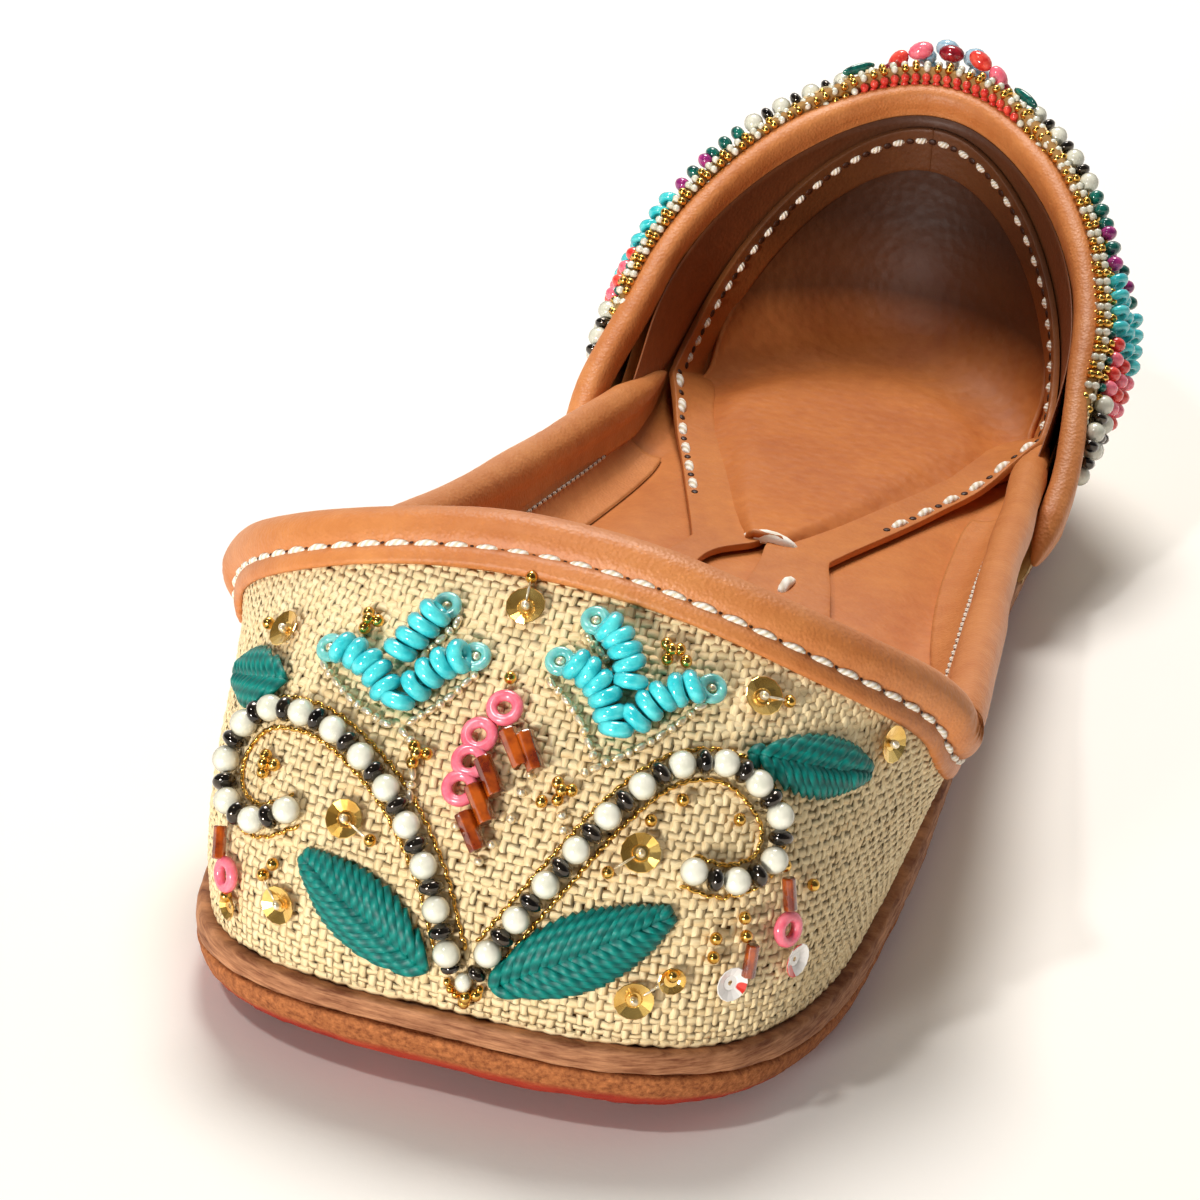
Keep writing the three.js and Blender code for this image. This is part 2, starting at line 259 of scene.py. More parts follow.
def smooth_path(points, count):
    """A smooth curve through given points, as count evenly spaced points."""
    points = np.asarray(points, float)
    padded = np.vstack([2 * points[0] - points[1], points, 2 * points[-1] - points[-2]])
    t = np.linspace(0, len(points) - 1 - 1e-9, 24 * len(points))
    i, u = t.astype(int), (t % 1)[:, None]
    p0, p1, p2, p3 = (padded[i + k] for k in range(4))
    curve = 0.5 * (
        2 * p1 + (p2 - p0) * u + (2 * p0 - 5 * p1 + 4 * p2 - p3) * u**2 + (3 * p1 - p0 - 3 * p2 + p3) * u**3
    )
    return along(curve, np.linspace(0, 1, count))


def sole_layer(name, columns, profile, rows):
    """A closed layer of the sole. Its profile is (inset, height, spread), from below to above."""
    def place(u, v):
        inset, height, spread = (np.interp(v, np.linspace(0, 1, len(profile)), c) for c in profile.T)
        return sole_point(u, inset, height, spread)

    return shaped_grid(name, columns, rows, place, seam=True)


underside = [(6, 0, 0), (6, 0, 0.4), (6, 0, 0.8), (5, 0, 1), (3.9, 0, 1)]
outsole_edge = smooth_path([(3.5, 0.06, 1), (3, 0.5, 1), (2, 1.15, 1), (0.9, 2.4, 1), (0.35, 4.2, 1)], 9)
outsole_top = [(0.5, 4.62, 1), (1, OUTSOLE_TOP, 1), (6, OUTSOLE_TOP, 0.9), (6, OUTSOLE_TOP, 0)]
outsole_profile = np.vstack([underside, outsole_edge, outsole_top])
outsole = sole_layer("outsole_leather", 420, outsole_profile, len(outsole_profile) - 1)
roughened(outsole, 1.1, 0.16)
roughened(outsole, 9, 0.25)

outsole_finish = Finish("outsole leather", {"Roughness": 0.82, "Specular IOR Level": 0.25})
where = outsole_finish.node("TexCoord", output="Object")
height = outsole_finish.node("SeparateXYZ", {0: where}, "Z")
lengthwise = outsole_finish.node("SeparateXYZ", {0: where}, "Y")
raised = ((TOE + SPRING_LENGTH * MM - lengthwise) * (1 / (SPRING_LENGTH * MM))).stretched(0, 1)
above = height - raised * raised * (TOE_SPRING * MM)
fuzz = outsole_finish.noise(where, 1400, 5, 0.7)
smear = outsole_finish.noise(where, 130, 3)
brown = outsole_finish.blend(fuzz.stretched(0.3, 0.7), tint(112, 56, 26), tint(196, 122, 70))
red_share = 1 - (above + smear * 0.0011 + fuzz * 0.0006).stretched(0.0021, 0.0031)
red = outsole_finish.blend(smear.stretched(0.3, 0.7), tint(150, 38, 26), tint(188, 66, 40))
outsole_finish.feed(outsole_finish.shader, {"Base Color": outsole_finish.blend(red_share, brown, red)})
outsole_finish.bumped(fuzz + smear * 0.4, 0.16)
dressed(outsole, outsole_finish.material)
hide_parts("outsole")


# ---- Rand ----
# A 2.7 mm strip of lighter leather between the outsole and the upper. Its cut edge shows the
# long fibres of the hide, a little ragged, and it casts a thin line of shadow on the outsole.

RAND_BOTTOM, RAND_TOP = 5.1, 7.8
rand_profile = np.vstack(
    [
        [(6, RAND_BOTTOM, 0), (6, RAND_BOTTOM, 0.8), (1.2, RAND_BOTTOM, 1)],
        smooth_path([(0.5, 5.1, 1), (0.08, 5.4, 1), (0, 6.5, 1), (0.15, 7.5, 1), (0.6, 7.8, 1)], 8),
        [(1.4, RAND_TOP, 1), (6, RAND_TOP, 0.8), (6, RAND_TOP, 0)],
    ]
)
rand = sole_layer("rand", 420, rand_profile, len(rand_profile) - 1)
roughened(rand, 2.2, 0.14)
roughened(rand, 14, 0.3)

rand_finish = Finish("rand leather", {"Roughness": 0.7, "Specular IOR Level": 0.3})
where = rand_finish.node("TexCoord", output="Object")
fibres = rand_finish.noise(rand_finish.scaled(where, (260, 260, 2600)), 1, 4, 0.65)
patches = rand_finish.noise(where, 160, 3)
streaks = (fibres * 0.7 + patches * 0.3).stretched(0.36, 0.64)
rand_brown = rand_finish.blend(streaks, tint(116, 64, 36), tint(196, 138, 96))
rand_finish.feed(rand_finish.shader, {"Base Color": rand_brown})
rand_finish.bumped(fibres, 0.25)
dressed(rand, rand_finish.material)
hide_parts("midsole")


# ---- Lining ----
# Smooth tan calf inside: down the walls, round into the footbed and across it. One piece of
# leather to look at, because the sock is pasted over the turned-in edges of the wall lining.

LAST_TOP = 8.1  # where the upper stands on the rand
FEATHER_INSET = 1.8
WALL = 2.0
FOOTBED = 2.2  # thickness of the sock at its edge
CORNER_TURN = 0.14  # the throat's corners, as turns from the toe
CORNER_STATION = 52  # where the seam line below a corner meets the sole
ROUNDING = 0.017

edge_length = lengths(SOLE_EDGE)
FOOT_SHARE = edge_length[np.argmax(SOLE_EDGE[:, 1] >= CORNER_STATION)] / edge_length[-1]

swing = np.linspace(0, np.pi / 2, 61)
throat_arch = np.stack(
    [44.3 * np.sin(swing), 28.6 + 21 * np.sin(swing) ** 5, 28.8 + 25.4 * np.cos(swing)], -1
)
crown_stations = 49.6 + 174.9 * crowded
crown_width = [(49.6, 44.3), (80, 43), (120, 40), (155, 38.2), (224.5, 35.8)]
crown_height = [(49.6, 28.8), (80, 34), (120, 39), (155, 46), (224.5, 60)]
side_crown = np.stack(
    [
        read(crown_width, crown_stations) * rounded_end(224.5 - crown_stations, 66, 1.75),
        crown_stations,
        read(crown_height, crown_stations),
    ],
    -1,
)


def halved(turn):
    """The turn's distance from the toe, either way round, and 1 on the right or -1 on the left."""
    wrapped = np.asarray(turn, float) % 1
    return np.minimum(wrapped, 1 - wrapped), np.where(wrapped <= 0.5, 1.0, -1.0)


def raw_crown(turn):
    half_turn, side = halved(turn)
    on_throat = (half_turn < CORNER_TURN)[..., None]
    past = (half_turn - CORNER_TURN) / (0.5 - CORNER_TURN)
    point = np.where(on_throat, along(throat_arch, half_turn / CORNER_TURN), along(side_crown, past))
    point[..., 0] *= side
    return point


HALF_TURNS = np.linspace(0, 0.5, 2001)
beyond_corner = (HALF_TURNS - CORNER_TURN) / (0.5 - CORNER_TURN)
foot_share = np.where(
    HALF_TURNS < CORNER_TURN,
    HALF_TURNS / CORNER_TURN * FOOT_SHARE,
    FOOT_SHARE + (1 - FOOT_SHARE) * beyond_corner,
)
softening = ROUNDING * np.linspace(-1, 1, 11)
foot_edge, _ = outline(foot_share, FEATHER_INSET)
FOOT_LINE = np.column_stack([foot_edge, LAST_TOP + lift(foot_edge[:, 1])])
OUTWARD = outline(foot_share)[1]
CROWN_LINE = np.mean([raw_crown(HALF_TURNS + shift) for shift in softening], axis=0)


def looked_up(half_turn, columns):
    return np.stack([np.interp(half_turn, HALF_TURNS, column) for column in columns.T], -1)


def last(turn, rise):
    """The outer face of the upper: rise 0 is where it meets the sole, and rise 1 its crown."""
    turn, rise = np.broadcast_arrays(np.asarray(turn, float), np.asarray(rise, float))
    half_turn, side = halved(turn)
    low, out, high = (looked_up(half_turn, table) for table in (FOOT_LINE, OUTWARD, CROWN_LINE))
    height = high[..., 2] - low[..., 2]
    lower = low.copy()
    lower[..., :2] += 2.6 * out
    lower[..., 2] += 0.4 * height
    upper = 0.5 * (low + high)
    upper[..., :2] += 0.8 * out
    upper[..., 2] = high[..., 2] - 0.28 * height
    t = rise[..., None]
    point = low * (1 - t) ** 3 + 3 * lower * t * (1 - t) ** 2 + 3 * upper * t * t * (1 - t) + high * t**3
    point[..., 0] *= side
    return point


def unit(vectors):
    return vectors / np.linalg.norm(vectors, axis=-1, keepdims=True)


def outward_normal(turn, rise):
    step = 1e-3
    round_ = last(turn + step, rise) - last(turn - step, rise)
    normal = np.cross(round_, last(turn, rise + step) - last(turn, rise - step))
    normal[..., 2] = np.where(np.asarray(rise) <= 0, 0, normal[..., 2])
    return unit(normal)


def offset(turn, rise, distance):
    """The last's face moved out by a distance, or in by a negative one."""
    turn, rise = np.broadcast_arrays(np.asarray(turn, float), np.asarray(rise, float))
    return last(turn, rise) + outward_normal(turn, rise) * np.asarray(distance)[..., None]


def rise_to(turn, height_at):
    """The rise at which the wall reaches a height, which may depend on the station."""
    low, high = np.zeros_like(turn), np.ones_like(turn)
    for _ in range(16):
        middle = (low + high) / 2
        point = last(turn, middle)
        below = point[..., 2] < height_at(point[..., 1])
        low, high = np.where(below, middle, low), np.where(below, high, middle)
    return (low + high) / 2


CROSSING_START, CROSSING_END = 164, 178  # where the low side gives way to the heel quarter
side_top = [(42, 28.8), (62, 26.8), (100, 21.6), (140, 17.4), (175, 15)]


def quarter_top(station):
    return 8.6 + 44.8 * (station - 150.5) / 75.5


def upper_top(station):
    share = eased(station, CROSSING_START, CROSSING_END)
    return read(side_top, station) * (1 - share) + quarter_top(station) * share


def raw_rim(turn):
    half_turn, _ = halved(turn)
    return np.where(half_turn < CORNER_TURN, 1.0, np.interp(half_turn, HALF_TURNS, side_rim))


side_rim = rise_to(HALF_TURNS, upper_top)
RIM = np.mean([raw_rim(HALF_TURNS + shift) for shift in softening], axis=0)
QUARTER_RIM = rise_to(HALF_TURNS, quarter_top)


def rim(turn):
    return np.interp(halved(turn)[0], HALF_TURNS, RIM)


def quarter_rim(turn):
    return np.interp(halved(turn)[0], HALF_TURNS, QUARTER_RIM)


def footbed_point(turn, inset, spread=1.0, above=0.0):
    """The top of the sock, a little fuller towards the middle."""
    point = sole_point(turn, inset, LAST_TOP + FOOTBED + above, spread)
    point[..., 2] += 1.4 * eased(inset + 30 * (1 - spread), 4, 18)
    return point


def turn_of_sole(turn):
    """The turn round the sole's own outline that lies below a turn round the last."""
    half_turn, side = halved(turn)
    share = np.interp(half_turn, HALF_TURNS, foot_share) / 2
    return np.where(side > 0, share, 1 - share)


def inner_path(turn, depth, skin, radius):
    """From the rim (depth 0) down the inner wall, round a hollow corner and in to the middle (1).
    skin is how far the surface stands in from the wall's inner face."""
    top = rim(turn)
    base = footbed_point(turn_of_sole(turn), FEATHER_INSET + WALL + skin, above=skin)
    wall_height = last(turn, top)[..., 2] - base[..., 2]
    reach = np.minimum(radius, 0.75 * wall_height)
    low = rise_to(turn, lambda station: base[..., 2] + reach)
    on_wall = offset(turn, top + (low - top) * np.clip(depth / 0.35, 0, 1), -WALL - skin)
    start = offset(turn, low, -WALL - skin)
    end = footbed_point(turn_of_sole(turn), FEATHER_INSET + WALL + skin + reach, above=skin)
    t = np.clip((depth - 0.35) / 0.25, 0, 1)[..., None]
    corner = start * (1 - t) ** 2 + 2 * base * t * (1 - t) + end * t**2
    spread = 1 - np.clip((depth - 0.6) / 0.4, 0, 1)
    floor = footbed_point(turn_of_sole(turn), FEATHER_INSET + WALL + skin + reach, spread, skin)
    depth = depth[..., None]
    return np.where(depth <= 0.35, on_wall, np.where(depth <= 0.6, corner, floor))


def hollow(turn):
    """Radius of the hollow corner between wall and footbed, wide and cupped at the heel."""
    return 6 + 12 * eased(halved(turn)[0], 0.38, 0.46)


lining = shaped_grid(
    "lining", 420, 60, lambda u, v: inner_path(u, v, 0.0, hollow(u)), seam=True
)


def leather(name, light, dark, grain=2600, gloss=0.46, depth=0.05, painted_shade_steps=()):
    """Full-grain calf: soft mottling, a fine pebble grain and a waxed shine. Its last argument holds
    pairs of heights in metres between which it is darkened in steps, a painted shade."""
    finish = Finish(name, {"Specular IOR Level": 0.35, "Coat Weight": 0.07, "Coat Roughness": 0.35})
    where = finish.node("TexCoord", output="Object")
    mottle = finish.noise(where, 55, 4, 0.6)
    fine = finish.noise(where, 420, 3)
    pebble = finish.node(
        "TexVoronoi", {"Vector": where, "Scale": grain, "Smoothness": 0.6}, feature="SMOOTH_F1"
    )
    creases = finish.noise(where, grain * 0.6, 3, 0.6)
    shade = (mottle * 0.65 + fine * 0.35).stretched(0.3, 0.7)
    colour = finish.blend(shade, tint(*dark), tint(*light))
    height = finish.node("SeparateXYZ", {0: where}, "Z")
    # Painted shade: darker brown between each pair of heights.
    for low, high in painted_shade_steps:
        colour = finish.blend(height.stretched(low, high) * 0.84, colour, tint(52, 28, 15))
    finish.feed(finish.shader, {"Base Color": colour, "Roughness": shade * -0.1 + (gloss + 0.05)})
    finish.bumped(pebble * -1 + creases * 0.9, depth)
    return finish.material


lining_leather = leather("lining leather", (208, 130, 66), (180, 100, 44), grain=1500, gloss=0.5)
dressed(lining, lining_leather)
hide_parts("insole")


# ---- Woven cover ----
# Plain-woven raffia, about ten flat strands to the centimetre each way, pasted over the lining and
# lasted down to the rand. Strands differ in width and colour, and pinholes show between them.

PITCH = 1.02
COVER_END = 0.366  # the cover runs this far round, to below the heel quarter
RAFFIA_RELIEF = 0.13
chance = np.random.default_rng(7)


def wall_place(turn, up, height=0.0):
    """A point of the wall, up millimetres along it from the sole, and its outward normal."""
    turn, up = np.broadcast_arrays(np.asarray(turn, float), np.asarray(up, float))
    rises = np.linspace(0, 1, 25)
    column = last(turn[..., None], rises)
    step = np.linalg.norm(np.diff(column, axis=-2), axis=-1)
    climbed = np.concatenate([np.zeros(turn.shape + (1,)), np.cumsum(step, axis=-1)], -1)
    flat_rise = [np.interp(u, c, rises) for u, c in zip(up.ravel(), climbed.reshape(-1, 25))]
    rise = np.clip(np.reshape(flat_rise, turn.shape), 1e-3, 1)
    normal = outward_normal(turn, rise)
    return last(turn, rise) + normal * np.asarray(height)[..., None], normal


def wall_length(turn, top=rim):
    """The length up the wall from the sole to its top."""
    column = last(turn[:, None], top(turn)[:, None] * np.linspace(0, 1, 25))
    return np.linalg.norm(np.diff(column, axis=1), axis=2).sum(1)


def woven_places(turns, start, room, pitch, height):
    """Places of the crossings of a plain weave on the wall, and half way between them, by their
    (column, line) in half pitches. Lines run round the shoe, and columns are counted from start."""
    points, normals = {}, {}
    for line in range(int(room.max() / pitch)):
        up = 0.25 + line * pitch
        inside = room > up
        right = start + (np.argmin(inside[start:]) or len(inside) - start)
        left = start - (np.argmin(inside[start::-1]) or start + 1) + 1
        line_points, line_normals = wall_place(turns[left:right], up, height(turns[left:right], up))
        across = lengths(line_points)
        across -= across[start - left]
        first, final = int(np.ceil(across[0] / pitch)), int(np.floor(across[-1] / pitch))
        for column in range(2 * first, 2 * final + 1):
            at = column * pitch / 2
            points[column, 2 * line] = [np.interp(at, across, c) for c in line_points.T]
            normals[column, 2 * line] = [np.interp(at, across, c) for c in line_normals.T]
    for (column, line), point in list(points.items()):
        beyond = (column, line + 2)
        if column % 2 == 0 and beyond in points:
            points[column, line + 1] = np.add(point, points[beyond]) / 2
            normals[column, line + 1] = np.add(normals[column, line], normals[beyond]) / 2
    return points, normals


def strand_mesh(name, paths, sides=4, thickness=0.26):
    """Strands as tubes of a few sides. A path is (points, normals, widths) in millimetres.
    The UV map holds the strand's number plus the way round it, and the length along it."""
    vertices, faces, marks = [], [], []
    angles = np.pi - 2 * np.pi * np.arange(sides) / sides
    for number, (points, normals, widths) in enumerate(paths):
        tangent = unit(np.gradient(points, axis=0))
        normal = unit(normals)
        side = unit(np.cross(normal, tangent)) * widths[:, None] / 2
        thick = normal * (thickness / 2 * widths / widths.max())[:, None]
        rings = np.stack([points + side * np.cos(a) + thick * np.sin(a) for a in angles], 1)
        start, count = len(vertices), len(points)
        vertices.extend(metres(rings.reshape(-1, 3)).tolist())
        travelled = lengths(points)
        for i in range(count - 1):
            here = start + sides * i
            for k in range(sides):
                after = (k + 1) % sides
                faces.append((here + k, here + sides + k, here + sides + after, here + after))
                low, high = number + k / sides, number + (k + 1) / sides
                v0, v1 = travelled[i], travelled[i + 1]
                marks.extend([(low, v0), (low, v1), (high, v1), (high, v0)])
        end = start + sides * (count - 1)
        faces.append(tuple(range(start, start + sides)))
        faces.append(tuple(range(end + sides - 1, end - 1, -1)))
        marks.extend([(number, 0)] * sides + [(number, travelled[-1])] * sides)
    mesh = bpy.data.meshes.new(name)
    mesh.from_pydata(vertices, [], faces)
    mesh.uv_layers.new(name="strands").data.foreach_set("uv", np.ravel(marks))
    mesh.polygons.foreach_set("use_smooth", [True] * len(faces))
    piece = bpy.data.objects.new(name, mesh)
    bpy.context.collection.objects.link(piece)
    return piece


def strand_paths(places, crossing_key, first_over, pitch):
    """Every strand one way, over and under the others in turn. crossing_key picks its own line."""
    own = {}
    for key in places[0]:
        if key[crossing_key] % 2 == 0:
            own.setdefault(key[crossing_key], []).append(key)
    paths = []
    for line, keys in sorted(own.items()):
        keys = sorted(keys)
        if len(keys) < 4:
            continue
        points, normals = (np.array([table[key] for key in keys]) for table in places)
        place = np.array([key[1 - crossing_key] for key in keys])
        over = np.where((line // 2 + place // 2) % 2 == first_over, 1.0, -1.0)
        height = np.where(place % 2 == 0, over * RAFFIA_RELIEF, 0.0) * chance.uniform(0.5, 1.4, len(keys))
        sideways = unit(np.cross(normals, unit(np.gradient(points, axis=0))))
        drift = np.convolve(chance.normal(0, 0.42, len(keys) + 10), np.ones(11) / 11, "valid")
        points = points + normals * (height - 0.12)[:, None] + sideways * drift[:, None]
        slub = np.convolve(chance.normal(0, 0.3, len(keys) + 6), np.ones(7) / 7, "valid")
        widths = pitch * np.clip(chance.uniform(0.84, 1.18) + 1.3 * slub, 0.6, 1.34)
        paths.append((points, normals, widths))
    return paths


def raffia(name, light, dark):
    """Split palm leaf: straw yellow, each strand its own shade, with fine fibres along it."""
    finish = Finish(name, {"Specular IOR Level": 0.4})
    strand = finish.node("TexCoord", output="UV")
    whole = finish.scaled(strand, (1, 0, 0))
    number = finish.node("VectorMath", {0: whole}, operation="FLOOR")
    shade = finish.noise(finish.scaled(number, (0.37, 0, 0)), 7, 1)
    slow = finish.noise(finish.scaled(strand, (3.7, 0.16, 0)), 1, 2)
    fibres = finish.noise(finish.scaled(strand, (19, 0.9, 0)), 1, 3, 0.6)
    tone = (shade * 0.3 + slow * 0.4 + fibres * 0.45).stretched(0.36, 0.74)
    finish.feed(finish.shader, {"Base Color": finish.blend(tone, tint(*dark), tint(*light))})
    finish.feed(finish.shader, {"Roughness": fibres * 0.25 + 0.4})
    finish.bumped(fibres, 0.09)
    return finish.material


straw = raffia("raffia", (255, 238, 194), (228, 190, 128))


def woven(name, places, pitch):
    """The strands both ways of a plain weave, each way as one piece."""
    for way, key, first_over in (("_weft", 1, 0), ("_warp", 0, 1)):
        strands = strand_mesh(name + way, strand_paths(places, key, first_over, pitch))
        dressed(strands, straw)


cover_turns = np.linspace(-COVER_END, COVER_END, 1201)
cover = woven_places(cover_turns, 600, wall_length(cover_turns) + 0.3, PITCH, lambda turn, up: 0 * turn)
woven("raffia", cover, PITCH)


# ---- Backing ----
# Brown cotton pasted behind the raffia; it shows only as the dark of the pinholes.

BACKING_DEPTH = 0.45


def backing_point(u, v):
    turn = (u - 0.5) % 1
    return offset(turn, v * rim(turn), -BACKING_DEPTH)


backing = shaped_grid("backing", 360, 24, backing_point, seam=True)
backing_finish = Finish("backing cotton", {"Roughness": 0.95, "Specular IOR Level": 0.1})
where = backing_finish.node("TexCoord", output="Object")
worn = backing_finish.noise(where, 900, 3)
cotton = backing_finish.blend(worn, tint(140, 100, 56), tint(190, 148, 92))
backing_finish.feed(backing_finish.shader, {"Base Color": cotton})
backing_finish.bumped(worn, 0.1)
dressed(backing, backing_finish.material)
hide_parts("upper")


# ---- Throat and side binding ----
# One strip of calf rolled over a cord and folded round the raw edge of the upper, from one side
# of the heel over the throat to the other. Outside it ends in a flat flange, held by thread.

ROLL = 2.5
GAP = 0.3


def low_rim(turn):
    """The rim as the side binding follows it: it keeps low where the heel quarter rises outside."""
    half_turn, _ = halved(turn)
    low = rise_to(half_turn, lambda station: read(side_top, station))
    return np.where(half_turn < 0.3, rim(turn), low)


def edge_frames(turns, rise_at, stand_out):
    """Along an edge: points a little outside it, the way out of the wall, and the way up past it."""
    step = 2e-3
    rise = rise_at(turns)
    normal = outward_normal(turns, rise)
    forward = unit(last(turns + step, rise_at(turns + step)) - last(turns - step, rise_at(turns - step)))
    away = unit(np.cross(normal, forward))
    return last(turns, rise) + normal * np.asarray(stand_out)[..., None], normal, away


def evenly(turns, rise_at, count):
    """Turns that stand the same distance apart along an edge."""
    travelled = lengths(last(turns, rise_at(turns)))
    return np.interp(np.linspace(0, travelled[-1], count), travelled, turns)


def edge_strip(name, turns, rise_at, stand_out, profile, ends=0.02):
    """Leather of one closed profile, (out, up) in mm, swept along an edge and drawn in at its ends."""
    columns = len(turns) - 1
    centre, normal, away = edge_frames(turns, rise_at, stand_out)
    middle_of_profile = profile.mean(0)

    def place(u, v):
        i = np.rint(u * columns).astype(int)
        at = np.interp(v, np.linspace(0, 1, len(profile)), np.arange(len(profile)))
        shape = np.stack([np.interp(at, np.arange(len(profile)), c) for c in profile.T], -1)
        fullness = np.clip(np.minimum(u, 1 - u) / ends, 0, 1) ** 0.6
        shape = middle_of_profile + (shape - middle_of_profile) * fullness[:, None]
        return centre[i] + normal[i] * shape[:, :1] + away[i] * shape[:, 1:]

    return shaped_grid(name, columns, len(profile) - 1, place, seam=True)


binding_end = HALF_TURNS[np.argmax(last(HALF_TURNS, low_rim(HALF_TURNS))[:, 1] > 186)]
binding_turns = evenly(np.linspace(-binding_end, binding_end, 2401), low_rim, 760)
tucked = eased(halved(binding_turns)[0], binding_end - 0.08, binding_end - 0.02)
throat_profile = smooth_path(
    [(-2.1, -2.3), (-2.6, -2.5), (-2.75, -0.7), (-2.9, 0.4), (-3.5, 1.7), (-3.3, 3.8), (-1.6, 5.2),
     (0.4, 4.9), (1.6, 3.4), (1.7, 1.8), (1.15, 0.5), (0.62, -0.05), (0.95, -0.55), (1.2, -1.3),
     (1.15, -2.2), (0.8, -2.62), (0.3, -2.5), (0.05, -1.0), (-1.0, 0.2), (-2.0, -1.0), (-2.1, -2.3)],
    61,
)
throat_binding = edge_strip(
    "throat_binding_leather", binding_turns, low_rim, -0.1 - 1.5 * tucked, throat_profile, 0.05
)
roughened(throat_binding, 1.3, 0.02)
roughened(throat_binding, 16, 0.3)
binding_leather = leather(
    "binding leather", (212, 138, 78), (186, 108, 52), grain=2300, gloss=0.47, depth=0.07
)
dressed(throat_binding, binding_leather)
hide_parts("throat_binding")


# ---- Binding stitches ----
# Waxed off-white thread in a running stitch along the groove above the flange. Each stitch dives
# into a punched hole at both ends, so it is fullest in its middle; each hole is a dark dot of
# painted shade.

STITCH_PITCH = 3.6


def pattern(name, add, **sizes):
    """A new primitive to be shaped, alone in the selection."""
    bpy.ops.object.select_all(action="DESELECT")
    add(**sizes)
    piece = bpy.context.object
    piece.name = piece.data.name = name
    bpy.ops.object.shade_smooth()
    return piece


def stitch_pattern(length, width, height):
    """A plump stitch along X that bends down into its holes. Its UV map runs round and along it."""
    stitch = pattern("stitch", bpy.ops.mesh.primitive_uv_sphere_add, segments=8, ring_count=9, radius=MM)
    stitch.data.transform(Matrix.Rotation(np.pi / 2, 4, "Y"))
    for vertex in stitch.data.vertices:
        x, y, z = vertex.co / MM
        fullness = (1 - x * x) ** -0.25 if abs(x) < 0.99 else 1
        vertex.co = Vector((x * length / 2, y * width / 2 * fullness, z * height / 2 * fullness)) * MM
        vertex.co.z -= x * x * height * 0.55 * MM
    return stitch


def frame_at(point, forward, normal, lean=0.0):
    """A matrix that stands a pattern at a point, its Z along the normal and its X forward."""
    normal = unit(np.asarray(normal, float))
    across = unit(np.cross(normal, forward))
    forward = np.cross(across, normal)
    turned = np.stack([forward, across, normal], 1)
    matrix = Matrix(turned.tolist()).to_4x4() @ Matrix.Rotation(lean, 4, "Z")
    matrix.translation = Vector(metres(point))
    return matrix


def sewn(name, piece, frames):
    """A copy of the pattern at each frame, all joined as one piece. The pattern itself goes."""
    copies = []
    for matrix in frames:
        copy = piece.copy()
        copy.data = piece.data.copy()
        copy.data.transform(matrix)
        bpy.context.collection.objects.link(copy)
        copies.append(copy)
    bpy.data.objects.remove(piece)
    bpy.ops.object.select_all(action="DESELECT")
    for copy in copies:
        copy.select_set(True)
    bpy.context.view_layer.objects.active = copies[0]
    bpy.ops.object.join()
    copies[0].name = copies[0].data.name = name
    return copies[0]


def thread(name, light, dark, twists=5.0, gloss=0.55):
    """Twisted thread: fine slanting plies, a little wax, and painted shade in the hollows between them."""
    finish = Finish(name, {"Roughness": gloss, "Specular IOR Level": 0.35})
    around = finish.node("TexCoord", output="UV")
    slanted = finish.node("SeparateXYZ", {0: finish.scaled(around, (2.0, twists, 0))}, "X")
    wound = finish.node("SeparateXYZ", {0: finish.scaled(around, (2.0, twists, 0))}, "Y")
    ply = ((slanted + wound) * (2 * np.pi)).maths("SINE") * 0.5 + 0.5
    # Painted shade: darker where the plies dip.
    colour = finish.blend(ply.stretched(0, 0.7), tint(*dark), tint(*light))
    finish.feed(finish.shader, {"Base Color": colour})
    finish.bumped(ply, 0.12)
    return finish.material


cream_thread = thread("cream thread", (255, 250, 238), (222, 206, 174))
# Painted shade: near-black dots stand for the shade inside the punched holes.
hole_shade = leather("painted hole shade", (70, 34, 16), (40, 18, 8))


def seam(name, points, normals, pitch, size, hole=0.42, lean=0.0):
    """A row of stitches along a line of points, with a dark dot of painted shade for the punched hole at
    the ends of each.
    """
    travelled = lengths(points)
    pitch = travelled[-1] / round(travelled[-1] / pitch)
    stitches, holes = [], []
    for at in np.arange(pitch / 2, travelled[-1], pitch):
        spot, before, after = (
            np.array([np.interp(at + shift, travelled, c) for c in points.T])
            for shift in (0, -pitch / 2, pitch / 2)
        )
        normal = np.array([np.interp(at, travelled, c) for c in normals.T])
        stitches.append(frame_at(spot, after - before, normal, lean))
        for end in (before, after):
            holes.append(frame_at(end, after - before, normal))
    dressed(sewn(name, stitch_pattern(*size), stitches), cream_thread)
    # Each hole is a flat dark dot of painted shade, not a cut.
    dot = pattern("hole", bpy.ops.mesh.primitive_uv_sphere_add, segments=8, ring_count=6, radius=hole * MM)
    dot.data.transform(Matrix.Diagonal((1.3, 1, 0.35, 1)))
    dressed(sewn(name + "_holes", dot, holes[::2] + holes[-1:]), hole_shade)


throat_turns = evenly(np.linspace(-0.165, 0.165, 1201), low_rim, 400)
groove, groove_normal, groove_away = edge_frames(throat_turns, low_rim, 0.72)
seam("binding_stitches", groove - groove_away * 0.08, groove_normal + groove_away * 0.25,
     STITCH_PITCH, (3.2, 0.8, 0.78), hole=0.2, lean=0.08)
for side in (-1, 1):
    side_turns = evenly(np.linspace(0.165, binding_end - 0.06, 801), low_rim, 300) * side % 1
    inside, below = (
        inner_path(side_turns, np.full(300, depth), 1.05, hollow(side_turns)) for depth in (0.385, 0.4)
    )
    facing_out = unit(np.cross(np.gradient(inside, axis=0), below - inside))
    facing_out *= np.sign(facing_out[:, 2:])
    name = "side_stitches_right" if side > 0 else "side_stitches_left"
    seam(name, inside, facing_out, 1.75, (1.3, 0.55, 0.55), hole=0.16)


# ---- Heel quarter ----
# A second panel of the same raffia, laid over the upper round the heel and lined in leather. Its
# ground of coarser strands shows between the rows of beads.

